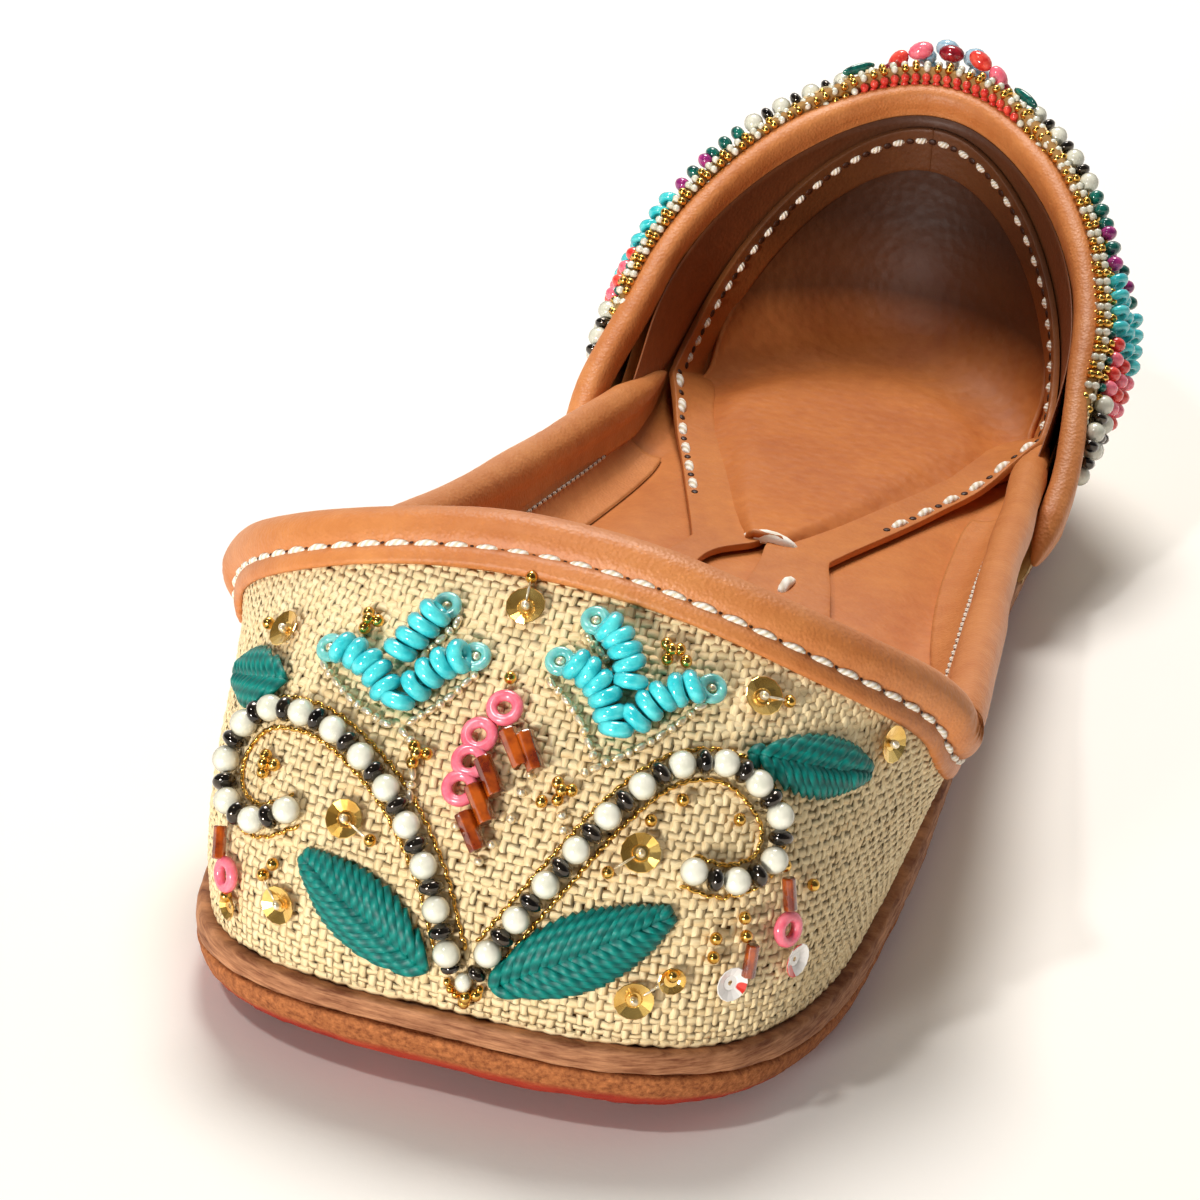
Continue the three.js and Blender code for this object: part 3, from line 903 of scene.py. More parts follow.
QUARTER_SKIN = 1.6
QUARTER_START = HALF_TURNS[
    np.argmax((HALF_TURNS > CORNER_TURN) & (quarter_top(FOOT_LINE[:, 1]) > LAST_TOP + 2.4))
]
QUARTER_PITCH = 1.3
LIP, BACK_LIP = 4.2, 1.6  # how far the cloth stands up behind the roll, and more at the back


def cloth_height(turn, up):
    """How far the quarter's cloth stands off the wall. Padding makes it swell below the topline."""
    room = wall_length(turn, quarter_rim)
    level = np.clip(up / np.maximum(room, 0.1), 0, 1)
    swell = 4.2 * eased(room, 8, 30) * np.sin(np.pi * level**3) + 1.1 * eased(up - room, -5, 1)
    return GAP + QUARTER_SKIN - 0.05 + swell


def lip(turn):
    half_turn, _ = halved(turn)
    along_side = LIP * eased(half_turn, QUARTER_START, QUARTER_START + 0.06)
    return along_side + BACK_LIP * eased(half_turn, 0.43, 0.485)


def cloth_top(turn):
    """The way up the wall to the edge of the cloth."""
    return wall_length(turn, quarter_rim) + lip(turn)


def thickened(piece, thickness, offset=-1):
    """Gives a sheet its thickness, to its back for -1 and to its front for 1."""
    sheet = piece.modifiers.new("sheet", "SOLIDIFY")
    sheet.thickness, sheet.offset = thickness * MM, offset
    bpy.context.view_layer.objects.active = piece
    bpy.ops.object.modifier_apply(modifier="sheet")


def quarter_point(u, v):
    turn = QUARTER_START + (1 - 2 * QUARTER_START) * u
    up = v * cloth_top(turn)
    return wall_place(turn, up, cloth_height(turn, up) - 0.35)[0]


quarter = shaped_grid("heel_quarter_ground", 200, 24, quarter_point)
thickened(quarter, QUARTER_SKIN - 0.4)
dressed(quarter, backing_finish.material)
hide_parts("heel_quarter")

quarter_turns = np.linspace(QUARTER_START, 1 - QUARTER_START, 1001)
quarter_weave = woven_places(quarter_turns, 500, cloth_top(quarter_turns), QUARTER_PITCH, cloth_height)
woven("quarter", quarter_weave, QUARTER_PITCH)


# ---- Quarter binding ----
# A rolled strip like the throat's, up the front edges of the heel quarter and along its topline.
# Below the crossing it lies outside the side binding and turns in under it.

quarter_edge_turns = evenly(np.linspace(QUARTER_START, 1 - QUARTER_START, 2401), quarter_rim, 560)
edge_station = last(quarter_edge_turns, quarter_rim(quarter_edge_turns))[:, 1]
over_walls, outside_wall = (GAP + QUARTER_SKIN - WALL) / 2, GAP + 1.08 * ROLL
share = eased(edge_station, CROSSING_START, CROSSING_END + 8)
stand_out = outside_wall * (1 - share) + over_walls * share
quarter_profile = smooth_path(
    [(0, -0.6), (-1.7, -0.8), (-1.9, 0.6), (-2.0, 2.0), (-1.5, 3.4), (0, 3.9), (1.4, 3.4), (1.9, 2.3),
     (1.85, 1.2), (2.0, 0.2), (2.0, -0.9), (1.6, -0.9), (1.2, -0.4), (0, -0.6)],
    41,
)
quarter_binding = edge_strip(
    "quarter_binding_leather", quarter_edge_turns, quarter_rim, stand_out, quarter_profile, 0.04
)
roughened(quarter_binding, 1.3, 0.02)
roughened(quarter_binding, 14, 0.3)
dressed(quarter_binding, binding_leather)
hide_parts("quarter_binding")


# ---- Heel pad ----
# A soft sock of tan calf over thin foam. It fills the space behind the straps, from the point where
# they meet, and is cupped up the back of the heel as far as the band.

VERTEX = 137.5  # where the two straps meet, on the middle line
STRAP_TURN = 0.41  # where the inner edge of a strap meets the wall
ROW_TURN = 0.39  # where its outer edge does


def band_edge(half_turn, first, low, high, bend):
    """The height of an edge of the band, which arches from a strap to the middle of the heel."""
    level = np.clip((half_turn - first) / (0.5 - first), 0, 1)
    return low + (high - low) * np.sin(np.pi / 2 * level) ** bend


def band_low(half_turn):
    return band_edge(half_turn, STRAP_TURN, 11.5, 43.5, 1.2)


def band_high(half_turn):
    return band_edge(half_turn, ROW_TURN, 16.5, 50.5, 1.5)


def on_floor(x, station, above):
    """A point of the footbed, or a little over it."""
    x, station = np.broadcast_arrays(np.asarray(x, float), np.asarray(station, float))
    return np.stack([x, station, LAST_TOP + FOOTBED + 1.4 + lift(station) + above], -1)


def on_inner_wall(turn, height, skin):
    """A point of the inner face of the wall at a height above the floor."""
    rise = rise_to(halved(turn)[0], lambda station: height)
    return offset(turn, rise, -WALL - skin)


def pad_edge(turn):
    """The depth on each way down the inside at which the pad begins, under a strap or the band."""
    depths = np.linspace(0, 1, 161)
    half_turn, _ = halved(turn)
    column = np.stack([inner_path(turn, np.full(turn.shape, d), 0.7, hollow(turn)) for d in depths], 1)
    middles = [(134, 0), (VERTEX, 4), (150, 10.5), (166, 16.5), (185, 26), (192, 29), (198, 36)]
    in_front = np.abs(column[..., 0]) < np.interp(column[..., 1], *np.transpose(middles))
    top = np.where(half_turn > STRAP_TURN, band_low(half_turn) + 2.2, 13.7)
    below = column[..., 2] < top[:, None]
    covered = in_front & below
    return depths[np.where(covered.any(1), np.argmax(covered, axis=1), 160)]


PAD_START = 0.296
pad_columns = np.linspace(PAD_START, 1 - PAD_START, 201)
pad_depths = np.convolve(np.pad(pad_edge(pad_columns), 3, "edge"), np.ones(7) / 7, "valid")


def pad_point(u, v):
    turn = PAD_START + (1 - 2 * PAD_START) * u
    start = np.interp(turn, pad_columns, pad_depths)
    plump = 0.3 + 1.7 * eased(v, 0, 0.4)
    return inner_path(turn, start + (1 - start) * v, plump, hollow(turn))


pad = shaped_grid("heel_pad", 200, 48, pad_point, seam=True)
roughened(pad, 26, 0.5)
thickened(pad, 0.9)
# Painted shadow: two darker steps up the heel cup stand for the shadow of the heel's rim.
pad_leather = leather("pad leather", (206, 124, 58), (176, 94, 38), grain=620, gloss=0.56, depth=0.14,
                      painted_shade_steps=((0.0165, 0.0235), (0.027, 0.035)))
dressed(pad, pad_leather)


# ---- Heel lining ----
# A facing of calf inside the heel quarter, from the topline to below the band, darker brown as painted
# shade.

heel_lining = shaped_grid(
    "heel_lining", 180, 16,
    lambda u, v: inner_path(0.352 + 0.296 * u, 0.36 * v, 0.25, hollow(0.352 + 0.296 * u)),
)
thickened(heel_lining, 0.2)
# Painted shade: darker brown calf, deepening towards the topline.
heel_lining.data.materials.append(
    leather("heel leather", (168, 98, 52), (140, 78, 38), grain=1500, gloss=0.55, painted_shade_steps=((0.016, 0.05),)))
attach(heel_lining, "root")


# ---- Straps and heel band ----
# Bands of calf a millimetre thick. They start under the vamp, cross the footbed in a V and run up
# the wall and round the heel below the topline, sewn along the outer edge with thick thread.

# Painted shade: the straps darken where they climb the heel wall.
strap_leather = leather("strap leather", (206, 128, 64), (176, 98, 44), grain=1500, gloss=0.5,
                        painted_shade_steps=((0.014, 0.034),))


def strap_edges(u, side):
    """The inner and outer edges of one strap, u from under the vamp (0) to the middle of the heel."""
    floor_share = np.clip(u / 0.55, 0, 1)
    slant = 5.5 if side < 0 else 0.0  # the left end is cut slanting, clear of the right one
    hollowed = 2.2 if side < 0 else 0.0  # and its inner edge is hollowed
    inner_floor = smooth_path(
        [(1 + slant, 104), (1 + slant, 127), (0.5, VERTEX), (5.5 + 0.7 * hollowed, 152),
         (12 + hollowed, 166), (18 + hollowed, 181), (24.5, 197)], 61)
    outer_floor = smooth_path(
        [(17, 104), (12.5, 123), (10, 132), (10.5, 135), (15, 148.5), (20, 163), (24.5, 174.5),
         (28.5, 185)], 61)
    knots = np.linspace(0, 1, 61)
    inner, outer = (
        np.stack([np.interp(floor_share, knots, c) for c in path.T], -1)
        for path in (inner_floor, outer_floor)
    )
    inner = on_floor(inner[:, 0], inner[:, 1], 0.6)
    outer = on_floor(outer[:, 0], outer[:, 1], 0.6 + 3.4 * eased(floor_share, 0.72, 1) ** 2)
    wall_share = np.clip((u - 0.55) / 0.45, 0, 1)
    low_turn = STRAP_TURN + (0.5 - STRAP_TURN) * wall_share
    high_turn = ROW_TURN + (0.5 - ROW_TURN) * wall_share
    low_wall = on_inner_wall(low_turn, band_low(low_turn), 0.5)
    high_wall = on_inner_wall(high_turn, band_high(high_turn), 0.5)
    turned_up = eased(u, 0.5, 0.6)[:, None]
    edges = [floor_edge * (1 - turned_up) + wall_edge * turned_up
             for floor_edge, wall_edge in ((inner, low_wall), (outer, high_wall))]
    for edge in edges:
        edge[:, 0] *= side
    return edges


def strap_point(u, v, side):
    inner, outer = strap_edges(u, side)
    return inner + (outer - inner) * v[:, None]


for side, name in ((1, "strap_right"), (-1, "strap_left")):
    strap = shaped_grid(name, 150, 12, lambda u, v: strap_point(u, v, side))
    bpy.ops.object.mode_set(mode="EDIT")
    bpy.ops.mesh.select_all(action="SELECT")
    if side > 0:
        bpy.ops.mesh.flip_normals()
    bpy.ops.object.mode_set(mode="OBJECT")
    thickened(strap, 1.0, 1)
    rounding = strap.modifiers.new("rounding", "BEVEL")
    rounding.width, rounding.segments = 0.3 * MM, 2
    bpy.ops.object.modifier_apply(modifier="rounding")
    dressed(strap, strap_leather)
    for part, row_u, pitch, size in (
        ("floor", np.linspace(0.3, 0.555, 200), 6.4, (4.5, 1.35, 1.25)),
        ("band", np.linspace(0.57, 1, 200), 3.6, (2.2, 1.0, 1.0)),
    ):
        inner, outer = strap_edges(row_u, side)
        row = inner + (outer - inner) * (0.86 if part == "floor" else 0.72)
        forward = unit(np.gradient(row, axis=0))
        row_normal = unit(np.cross(forward, unit(outer - inner))) * -side
        seam(f"{name}_{part}_stitches", row + row_normal * 1.05, row_normal, pitch, size, hole=0.5)


# ---- Tie of the straps ----
# One thick cross stitch pulls the straps together where they meet, and a short one pins the right
# strap's tail.

waxed_thread = thread("waxed thread", (255, 250, 238), (240, 230, 208), twists=3.0)
ties = []
for place, forward in (((0.5, 136.5), (1, -0.12, 0)), ((6.5, 122.5), (0.12, 1, 0))):
    ties.append(frame_at(on_floor(*place, 2.0), np.array(forward), (0, 0, 1)))
cross_stitch = sewn("tie_stitch", stitch_pattern(8.6, 1.9, 2.2), ties[:1])
tail_stitch = sewn("tail_stitch", stitch_pattern(5, 1.6, 1.5), ties[1:])
for piece in (cross_stitch, tail_stitch):
    dressed(piece, waxed_thread)


# ---- Side facings ----
# A strip of calf under each side binding, pasted over the edge of the lining, with a shadowed
# step at its lower edge.

FACING_WIDTH = 10.5


def inner_place(turn, down, skin):
    """A point some way down the inside from the rim, following the wall and then the footbed."""
    depths = np.linspace(0, 0.75, 46)
    columns = np.stack([inner_path(turn, np.full(turn.shape, d), skin, hollow(turn)) for d in depths], 1)
    step = np.linalg.norm(np.diff(columns, axis=1), axis=2)
    climbed = np.concatenate([np.zeros((len(turn), 1)), np.cumsum(step, axis=1)], 1)
    share = np.array([np.interp(d, c, depths) for d, c in zip(down, climbed)])
    return inner_path(turn, share, skin, hollow(turn))


for side, name in ((1, "facing_right"), (-1, "facing_left")):
    def facing_point(u, v):
        turn = (0.12 + (binding_end - 0.16) * u) * side
        proud = 0.15 + 0.75 * np.sin(np.pi * np.clip(v * 1.06, 0, 1)) ** 0.3
        return inner_place(turn % 1, -0.2 + (FACING_WIDTH + 0.2) * np.clip(v * 1.06, 0, 1), proud)

    facing = shaped_grid(name, 140, 18, facing_point)
    thickened(facing, 0.5, -side)
    dressed(facing, binding_leather)


# ---- Pearl chains ----
# Two strings of pearls with dark rondelles between them, couched down from the toe outwards and
# curled in at their ends, with a thin gold chain along both sides.

FOOT_TRAVEL = lengths(FOOT_LINE)
PEARL = 3.1


def on_vamp(spots, height=0.0):
    """Points of the vamp and its normals. A spot is the way along the sole from the middle of the
    toe, to the right, and the way up the wall, in mm."""
    across, up = np.array(spots, float).reshape(-1, 2).T
    turn = np.interp(np.abs(across), FOOT_TRAVEL, HALF_TURNS) * np.sign(across)
    return wall_place(turn, up, height)


def vamp_frames(spots, headings, height, leans=0.0):
    """A frame at each spot, with X along its heading and Z out of the cloth."""
    spots = np.array(spots, float).reshape(-1, 2)
    headings = np.broadcast_to(unit(np.array(headings, float)), spots.shape)
    points, normals = on_vamp(spots, height)
    ahead = on_vamp(spots + 0.2 * headings, height)[0]
    leans = np.broadcast_to(leans, len(spots))
    return [frame_at(p, a - p, n, lean) for p, a, n, lean in zip(points, ahead, normals, leans)]


def ball(name, diameter, segments=16, rings=10, proportions=(1, 1, 1)):
    """A round bead, its hole lying along X."""
    add = bpy.ops.mesh.primitive_uv_sphere_add
    bead = pattern(name, add, segments=segments, ring_count=rings, radius=diameter / 2 * MM)
    bead.data.transform(Matrix.Rotation(np.pi / 2, 4, "Y"))
    bead.data.transform(Matrix.Diagonal((*proportions, 1)))
    return bead


def glazed(name, light, dark, constants, grain=900, facing=None):
    """A hard shiny bead: clouded between two colours, and turned to a third, darker one towards its edges
    as painted shade.
    """
    finish = Finish(name, {"Roughness": 0.16, "Coat Weight": 0.5, "Coat Roughness": 0.06, **constants})
    cloud = finish.noise(finish.node("TexCoord", output="Object"), grain, 3)
    colour = finish.blend(cloud.stretched(0.35, 0.65), tint(*dark), tint(*light))
    # Painted shade: the facing colour darkens the bead towards its edges.
    if facing:
        edge = finish.node("LayerWeight", {"Blend": 0.35}, "Facing")
        colour = finish.blend(edge.stretched(0.15, 0.8), colour, tint(*facing))
    finish.feed(finish.shader, {"Base Color": colour})
    return finish.material


def strung(name, beads, frames, material):
    """Beads or stitches at all the frames as one piece, of one material."""
    dressed(sewn(name, beads, frames), material)


def chain_spots(path, count):
    spots = smooth_path(path, count)
    return spots, unit(np.gradient(spots, axis=0))


pearl_glaze = glazed(
    "pearl", (243, 240, 222), (222, 222, 202), {"Roughness": 0.22, "Coat Weight": 1.0}, grain=400,
    facing=(136, 126, 94)
)
hematite = glazed(
    "bronze hematite", (70, 58, 44), (30, 25, 20),
    {"Metallic": 0.85, "Roughness": 0.13, "Coat Weight": 1.0}, grain=700
)
gold = glazed(
    "gold", (240, 196, 104), (206, 150, 60), {"Metallic": 1.0, "Roughness": 0.2, "Coat Weight": 0.0}
)
pale_gold = glazed(
    "silver-lined glass", (252, 244, 222), (226, 196, 138), {"Metallic": 0.6, "Roughness": 0.2}, grain=1600
)
left_chain = [(0.5, 7.5), (-3.5, 15.5), (-10.5, 23), (-20, 27.5), (-28.5, 26), (-32, 20.5), (-30, 16),
              (-25, 15), (-20.5, 17.5)]
right_chain = [(5, 8.5), (10.5, 17.5), (16, 26), (21.5, 31), (28, 31), (33.5, 25.5), (33, 20.5),
               (28.5, 19), (24.5, 20)]
for name, path, count in (("left", left_chain, 14), ("right", right_chain, 13)):
    spots, ways = chain_spots(path, 2 * count - 1)
    strung(f"pearls_{name}", ball("pearl", PEARL, 20, 14), vamp_frames(spots[::2], ways[::2], 1.65),
           pearl_glaze)
    rondelle = ball("rondelle", 2.85, 16, 10, (0.64, 1, 1))
    turned = chance.uniform(-0.12, 0.12, count - 1)
    strung(f"rondelles_{name}", rondelle, vamp_frames(spots[1::2], ways[1::2], 1.5, turned), hematite)
    fine, fine_ways = chain_spots(path, 78)
    outward = np.stack([fine_ways[:, 1], -fine_ways[:, 0]], -1)
    links = []
    for shift in (-1.72, 1.72):
        leans = np.where(np.arange(78) % 2, 0.45, -0.25) + chance.normal(0, 0.12, 78)
        links += vamp_frames(fine + outward * shift, fine_ways, 0.3, leans)
    strung(f"gold_chain_{name}", ball("link", 0.55, 8, 6, (1.9, 0.9, 0.9)), links, gold)


# ---- Foot of the chains ----
# Where the two strings meet over the toe: a rondelle each side of a small oval pearl, standing on
# a fan of gold seeds.

MEETING = (2.5, 4.5)  # where the chains meet
strung("foot_rondelles", ball("rondelle", 2.3, 16, 10, (0.66, 1, 1)),
       vamp_frames([(MEETING[0] + side * 1.5, 6) for side in (-1, 1)], [(-0.6, 1), (0.6, 1)], 1.15),
       hematite)
strung("foot_pearl", ball("pearl", 1.9, 16, 10, (1.2, 1, 1)), vamp_frames([MEETING], (0, 1), 1.0),
       pearl_glaze)
spread = np.radians(np.linspace(-75, 75, 7))
fan = [(MEETING[0] + 1.9 * np.sin(a), MEETING[1] - 1.9 * np.cos(a)) for a in spread]
fan += [(MEETING[0] + side, MEETING[1] - 1.1) for side in (-0.4, 0.4)]
strung("foot_seeds", ball("seed", 1.05, 10, 8, (0.8, 1, 1)), vamp_frames(fan, (1, 0.2), 0.75), gold)


# ---- Turquoise flowers ----
# Thick turquoise rings threaded on edge like stacked coins, in three arms that meet at the foot.
# Each arm ends in a paler ring lying flat round a bronze seed.

RING = (1.12, 0.9)  # the radius of a ring's middle and of its tube


def ring(name, sizes, lying):
    """A thick glass ring, lying on the cloth or standing across X."""
    add = bpy.ops.mesh.primitive_torus_add
    bead = pattern(name, add, major_segments=22, minor_segments=10,
                   major_radius=sizes[0] * MM, minor_radius=sizes[1] * MM)
    if not lying:
        bead.data.transform(Matrix.Rotation(np.pi / 2 - 0.4, 4, "Y"))
    return bead


turquoise = glazed("turquoise glass", (96, 230, 230), (44, 196, 204), {"Roughness": 0.14}, grain=650,
                   facing=(24, 156, 170))
aqua = glazed("aqua glass", (150, 226, 220), (112, 206, 202),
              {"Roughness": 0.12, "Transmission Weight": 0.25, "Subsurface Weight": 0.3,
               "Subsurface Scale": 0.0012})
# Each arm of the two flowers: its tip, its foot, its rings and how far it bows up from a straight line.
flower_arms = (
    ((-23.5, 35.5), (-14, 33), 5, 1.3), ((-11, 44), (-14, 37.5), 4, 0), ((-5, 39), (-10.5, 34), 4, 0.8),
    ((8.5, 46), (14.5, 39.5), 5, 1.3), ((5.5, 40.5), (13, 35.5), 5, 1.4), ((24, 40), (16, 35.5), 5, 1.3),
)


def arm_spots(tip, foot, rings, bow):
    """The places of an arm's pale ring and of its stacked rings, from the tip down."""
    tip, foot = np.array(tip, float), np.array(foot, float)
    share = np.concatenate([[0], np.linspace(0.22, 1, rings)])
    across = np.array([tip[1] - foot[1], foot[0] - tip[0]]) / np.linalg.norm(foot - tip)
    across *= np.sign(across[1] + 1e-9)
    return tip + share[:, None] * (foot - tip) + (bow * 4 * share * (1 - share))[:, None] * across


ends, stacked, stacked_ways = [], [(-12, 32), (14, 34)], [(0.2, 1), (0.1, 1)]
for one_arm in flower_arms:
    arm = arm_spots(*one_arm)
    ends.append(arm[0])
    stacked.extend(arm[1:])
    stacked_ways.extend(np.gradient(arm, axis=0)[1:] * -1)
turned = chance.uniform(-0.28, 0.28, len(stacked))
strung("turquoise_rings", ring("ring", RING, False), vamp_frames(stacked, stacked_ways, 1.85, turned),
       turquoise)
strung("pale_rings", ring("ring", (1.15, 0.58), True), vamp_frames(ends, (1, 0), 0.95), aqua)
strung("ring_seeds", ball("seed", 1.1, 10, 8), vamp_frames(ends, (1, 0), 0.95), pale_gold)


# ---- Bead lines ----
# Rows of short silver-lined bugles and seeds beside the flowers, and the tiny gold clusters and
# seeds scattered over the cloth.

short_bugles, seeds = [], []
for path, step in (
    ([(-23.5, 33.5), (-18, 31), (-13, 29.5)], 1.35), ([(-10, 30.5), (-7, 33.5), (-4.5, 37)], 1.3),
    ([(-11.5, 38), (-9, 42.5)], 1.25), ([(5, 38), (8, 36), (10, 34), (12, 31)], 1.35),
    ([(23, 38), (18, 33.5), (11.5, 29)], 1.35), ([(8, 44), (11, 42)], 1.25),
    ([(-10.5, 29), (-9, 28), (-8, 25), (-7.5, 22.5)], 1.3),
):
    count = int(round(lengths(np.array(path, float))[-1] / step)) + 1
    spots, ways = chain_spots(path, max(count, 3))
    short_bugles += vamp_frames(spots[::2], ways[::2], 0.62, chance.normal(0, 0.15, len(spots[::2])))
    seeds += vamp_frames(spots[1::2], ways[1::2], 0.6)
for spot in [(2, 17.5), (3, 19.5), (4.5, 22.5), (5, 25.5), (5.5, 27.5), (-1.5, 20.5), (10, 24),
             (10.5, 22.5)]:
    seeds += vamp_frames([spot], (0.3, 1), 0.65)
strung("short_bugles", ball("bugle", 0.95, 10, 6, (1.75, 0.95, 0.95)), short_bugles, pale_gold)
strung("seeds", ball("seed", 1.15, 10, 8, (0.85, 1, 1)), seeds, pale_gold)

clusters = [(-8, 27), (9.5, 26.5), (-20, 40), (18.5, 44), (-25.5, 21), (3, 3)]
drops = []
for across, up in clusters:
    for shift, height in (((0, 0), 1.35), ((1.0, 0.3), 0.85), ((-0.7, 0.8), 0.8), ((-0.3, -0.95), 0.8)):
        drops += vamp_frames([(across + shift[0], up + shift[1])], (1, 0), height)
for spot in [(0, 37.5), (29, 25.5), (22.5, 27.5), (19.5, 25), (20.5, 43), (-36.5, 33.5), (-21, 11.5),
             (28, 13), (28, 11), (40.5, 17), (35.5, 20), (-27.5, 5.5), (31, 15), (31.5, 13), (7.5, 25)]:
    drops += vamp_frames([spot], (1, 0), 0.85)
strung("gold_drops", ball("drop", 1.5, 12, 8, (0.9, 1, 1)), drops, gold)


# ---- Rings and amber bugles ----
# Four pink rings down the middle, each with a faceted amber bugle hung from it and a seed at the
# end of its thread. Smaller tassels hang from the curls of the pearl chains.

pink = glazed("pink glass", (255, 138, 154), (240, 104, 126),
              {"Roughness": 0.15, "Subsurface Weight": 0.25, "Subsurface Scale": 0.001},
              facing=(222, 76, 104))
amber = glazed("amber glass", (222, 104, 22), (128, 40, 8),
               {"Roughness": 0.05, "Coat Weight": 1.0, "Coat Roughness": 0.02, "Transmission Weight": 0.35,
                "Specular IOR Level": 0.8}, grain=420, facing=(50, 12, 3))
rings_at = np.array([(0.5, 34)] + [(-1.5 - 0.25 * step, 30.5 - 3 * step) for step in range(3)])
tassel_rings = [(-27.5, 8), (37, 13)]
strung("pink_rings", ring("ring", (1.42, 0.66), True), vamp_frames([*rings_at, *tassel_rings], (1, 0), 1.1),
       pink)
# A bugle's middle and its heading. The ones at the rings hang down to the right of their holes.
hung = [(spot + (2.6, -4.2), (2.4, -3)) for spot in rings_at] + [(rings_at[0] + (4.5, -4.2), (1, -1.5))]
tassels = [((-29, 11), (0.8, -3.6)), ((36, 17), (1, -4)), ((32, 10.5), (0, -4))]


def bugle(name, length, width):
    """A faceted bugle bead along X."""
    tube = pattern(name, bpy.ops.mesh.primitive_cylinder_add, vertices=7,
                   radius=width / 2 * MM, depth=length * MM)
    tube.data.transform(Matrix.Rotation(np.pi / 2, 4, "Y"))
    bpy.ops.object.shade_flat()
    rim_edge = tube.modifiers.new("edge", "BEVEL")
    rim_edge.width, rim_edge.segments = 0.18 * MM, 2
    bpy.ops.object.modifier_apply(modifier="edge")
    return tube


for name, pairs, length, width, height in (
    ("amber_bugles", hung, 4.5, 2.15, 1.6), ("tassel_bugles", tassels, 3.7, 1.6, 1.5)
):
    middles, headings = np.array(pairs, float).transpose(1, 0, 2)
    strung(name, bugle("bugle", length, width), vamp_frames(middles, headings, height), amber)


# ---- Sequins ----
# Cupped sequins with cut facets, each held by a seed in its middle, and most by a loop of thread
# to a gold bead as well.


def sequin(name, radius):
    """A shallow faceted cup with a flat middle, pierced."""
    radii = np.array([0.3, 0.85, 1.0, radius - 0.05, radius])
    heights = np.array([0.0, 0.0, 0.1, 0.5, 0.46])

    def place(u, v):
        at, angle = np.interp(v, np.linspace(0, 1, 5), np.arange(5)), 2 * np.pi * u
        r, h = (np.interp(at, np.arange(5), row) for row in (radii, heights))
        return np.stack([r * np.cos(angle), r * np.sin(angle), h], -1)

    cup = shaped_grid(name, 14, 4, place, seam=True)
    cup.data.transform(Matrix.Translation(-Vector(metres(np.zeros(3)))))
    bpy.ops.object.shade_flat()
    foil = cup.modifiers.new("foil", "SOLIDIFY")
    foil.thickness, foil.offset = 0.12 * MM, 0
    bpy.ops.object.modifier_apply(modifier="foil")
    return cup


foil_gold = glazed(
    "gold foil", (255, 216, 122), (214, 160, 66), {"Metallic": 0.86, "Roughness": 0.17}, grain=260
)
foil_white = Finish("white foil", {"Roughness": 0.1, "Coat Weight": 0.8, "Coat Roughness": 0.03})
foil_white.feed(foil_white.shader, {"Base Color": foil_white.blend(
    foil_white.noise(foil_white.node("TexCoord", output="Object"), 420, 0).stretched(0.52, 0.54),
    tint(250, 246, 240), tint(232, 62, 50))})
# Each sequin's place and, where it has one, how far off the gold bead of its loop is.
sequin_rows = [((-1, 46), (-0.5, 3.5)), ((-14, 18.5), (3.5, -1.5)), ((-19.5, 7.5), (-2.5, 2.5)),
               ((30.5, 39), (3.5, -1)), ((19, 21.5), (-3, -2.5)), ((20.5, 6), (3.5, 3)),
               ((-32.5, 34.5), None), ((53, 29.5), None)]
placed = [spot for spot, _ in sequin_rows]
looped = np.array([(spot, np.add(spot, reach)) for spot, reach in sequin_rows if reach])
strung("loop_drops", ball("drop", 1.5, 12, 8, (0.9, 1, 1)), vamp_frames(looped[:, 1], (1, 0), 0.85),
       gold)
small = [(24, 8.5), (-27, 4.5)]
strung("sequins", sequin("sequin", 2.15), vamp_frames(placed, (1, 0), 0.5, np.linspace(0, 5, 8)),
       foil_gold)
strung("small_sequins", sequin("sequin", 1.5), vamp_frames(small, (1, 0), 0.6), foil_gold)
strung("white_sequins", sequin("sequin", 1.95), vamp_frames([(30.5, 8), (39.5, 9)], (1, 0), 0.7),
       foil_white.material)
strung("sequin_seeds", ball("seed", 1.2, 12, 8, (0.8, 1, 1)), vamp_frames(placed, (0.7, 0.7), 1.0),
       pale_gold)
strung("sequin_loops", ball("loop", 0.34, 8, 6, (8, 1, 1)),
       vamp_frames(looped.mean(1), looped[:, 1] - looped[:, 0], 1.0), pale_gold)


# ---- Satin leaves ----
# Leaves of teal silk in fishbone stitch: thick threads laid side by side from the midrib to the
# edge, pointing to the tip, and padded so that each half is rounded.

LEAF_THREAD = 1.4


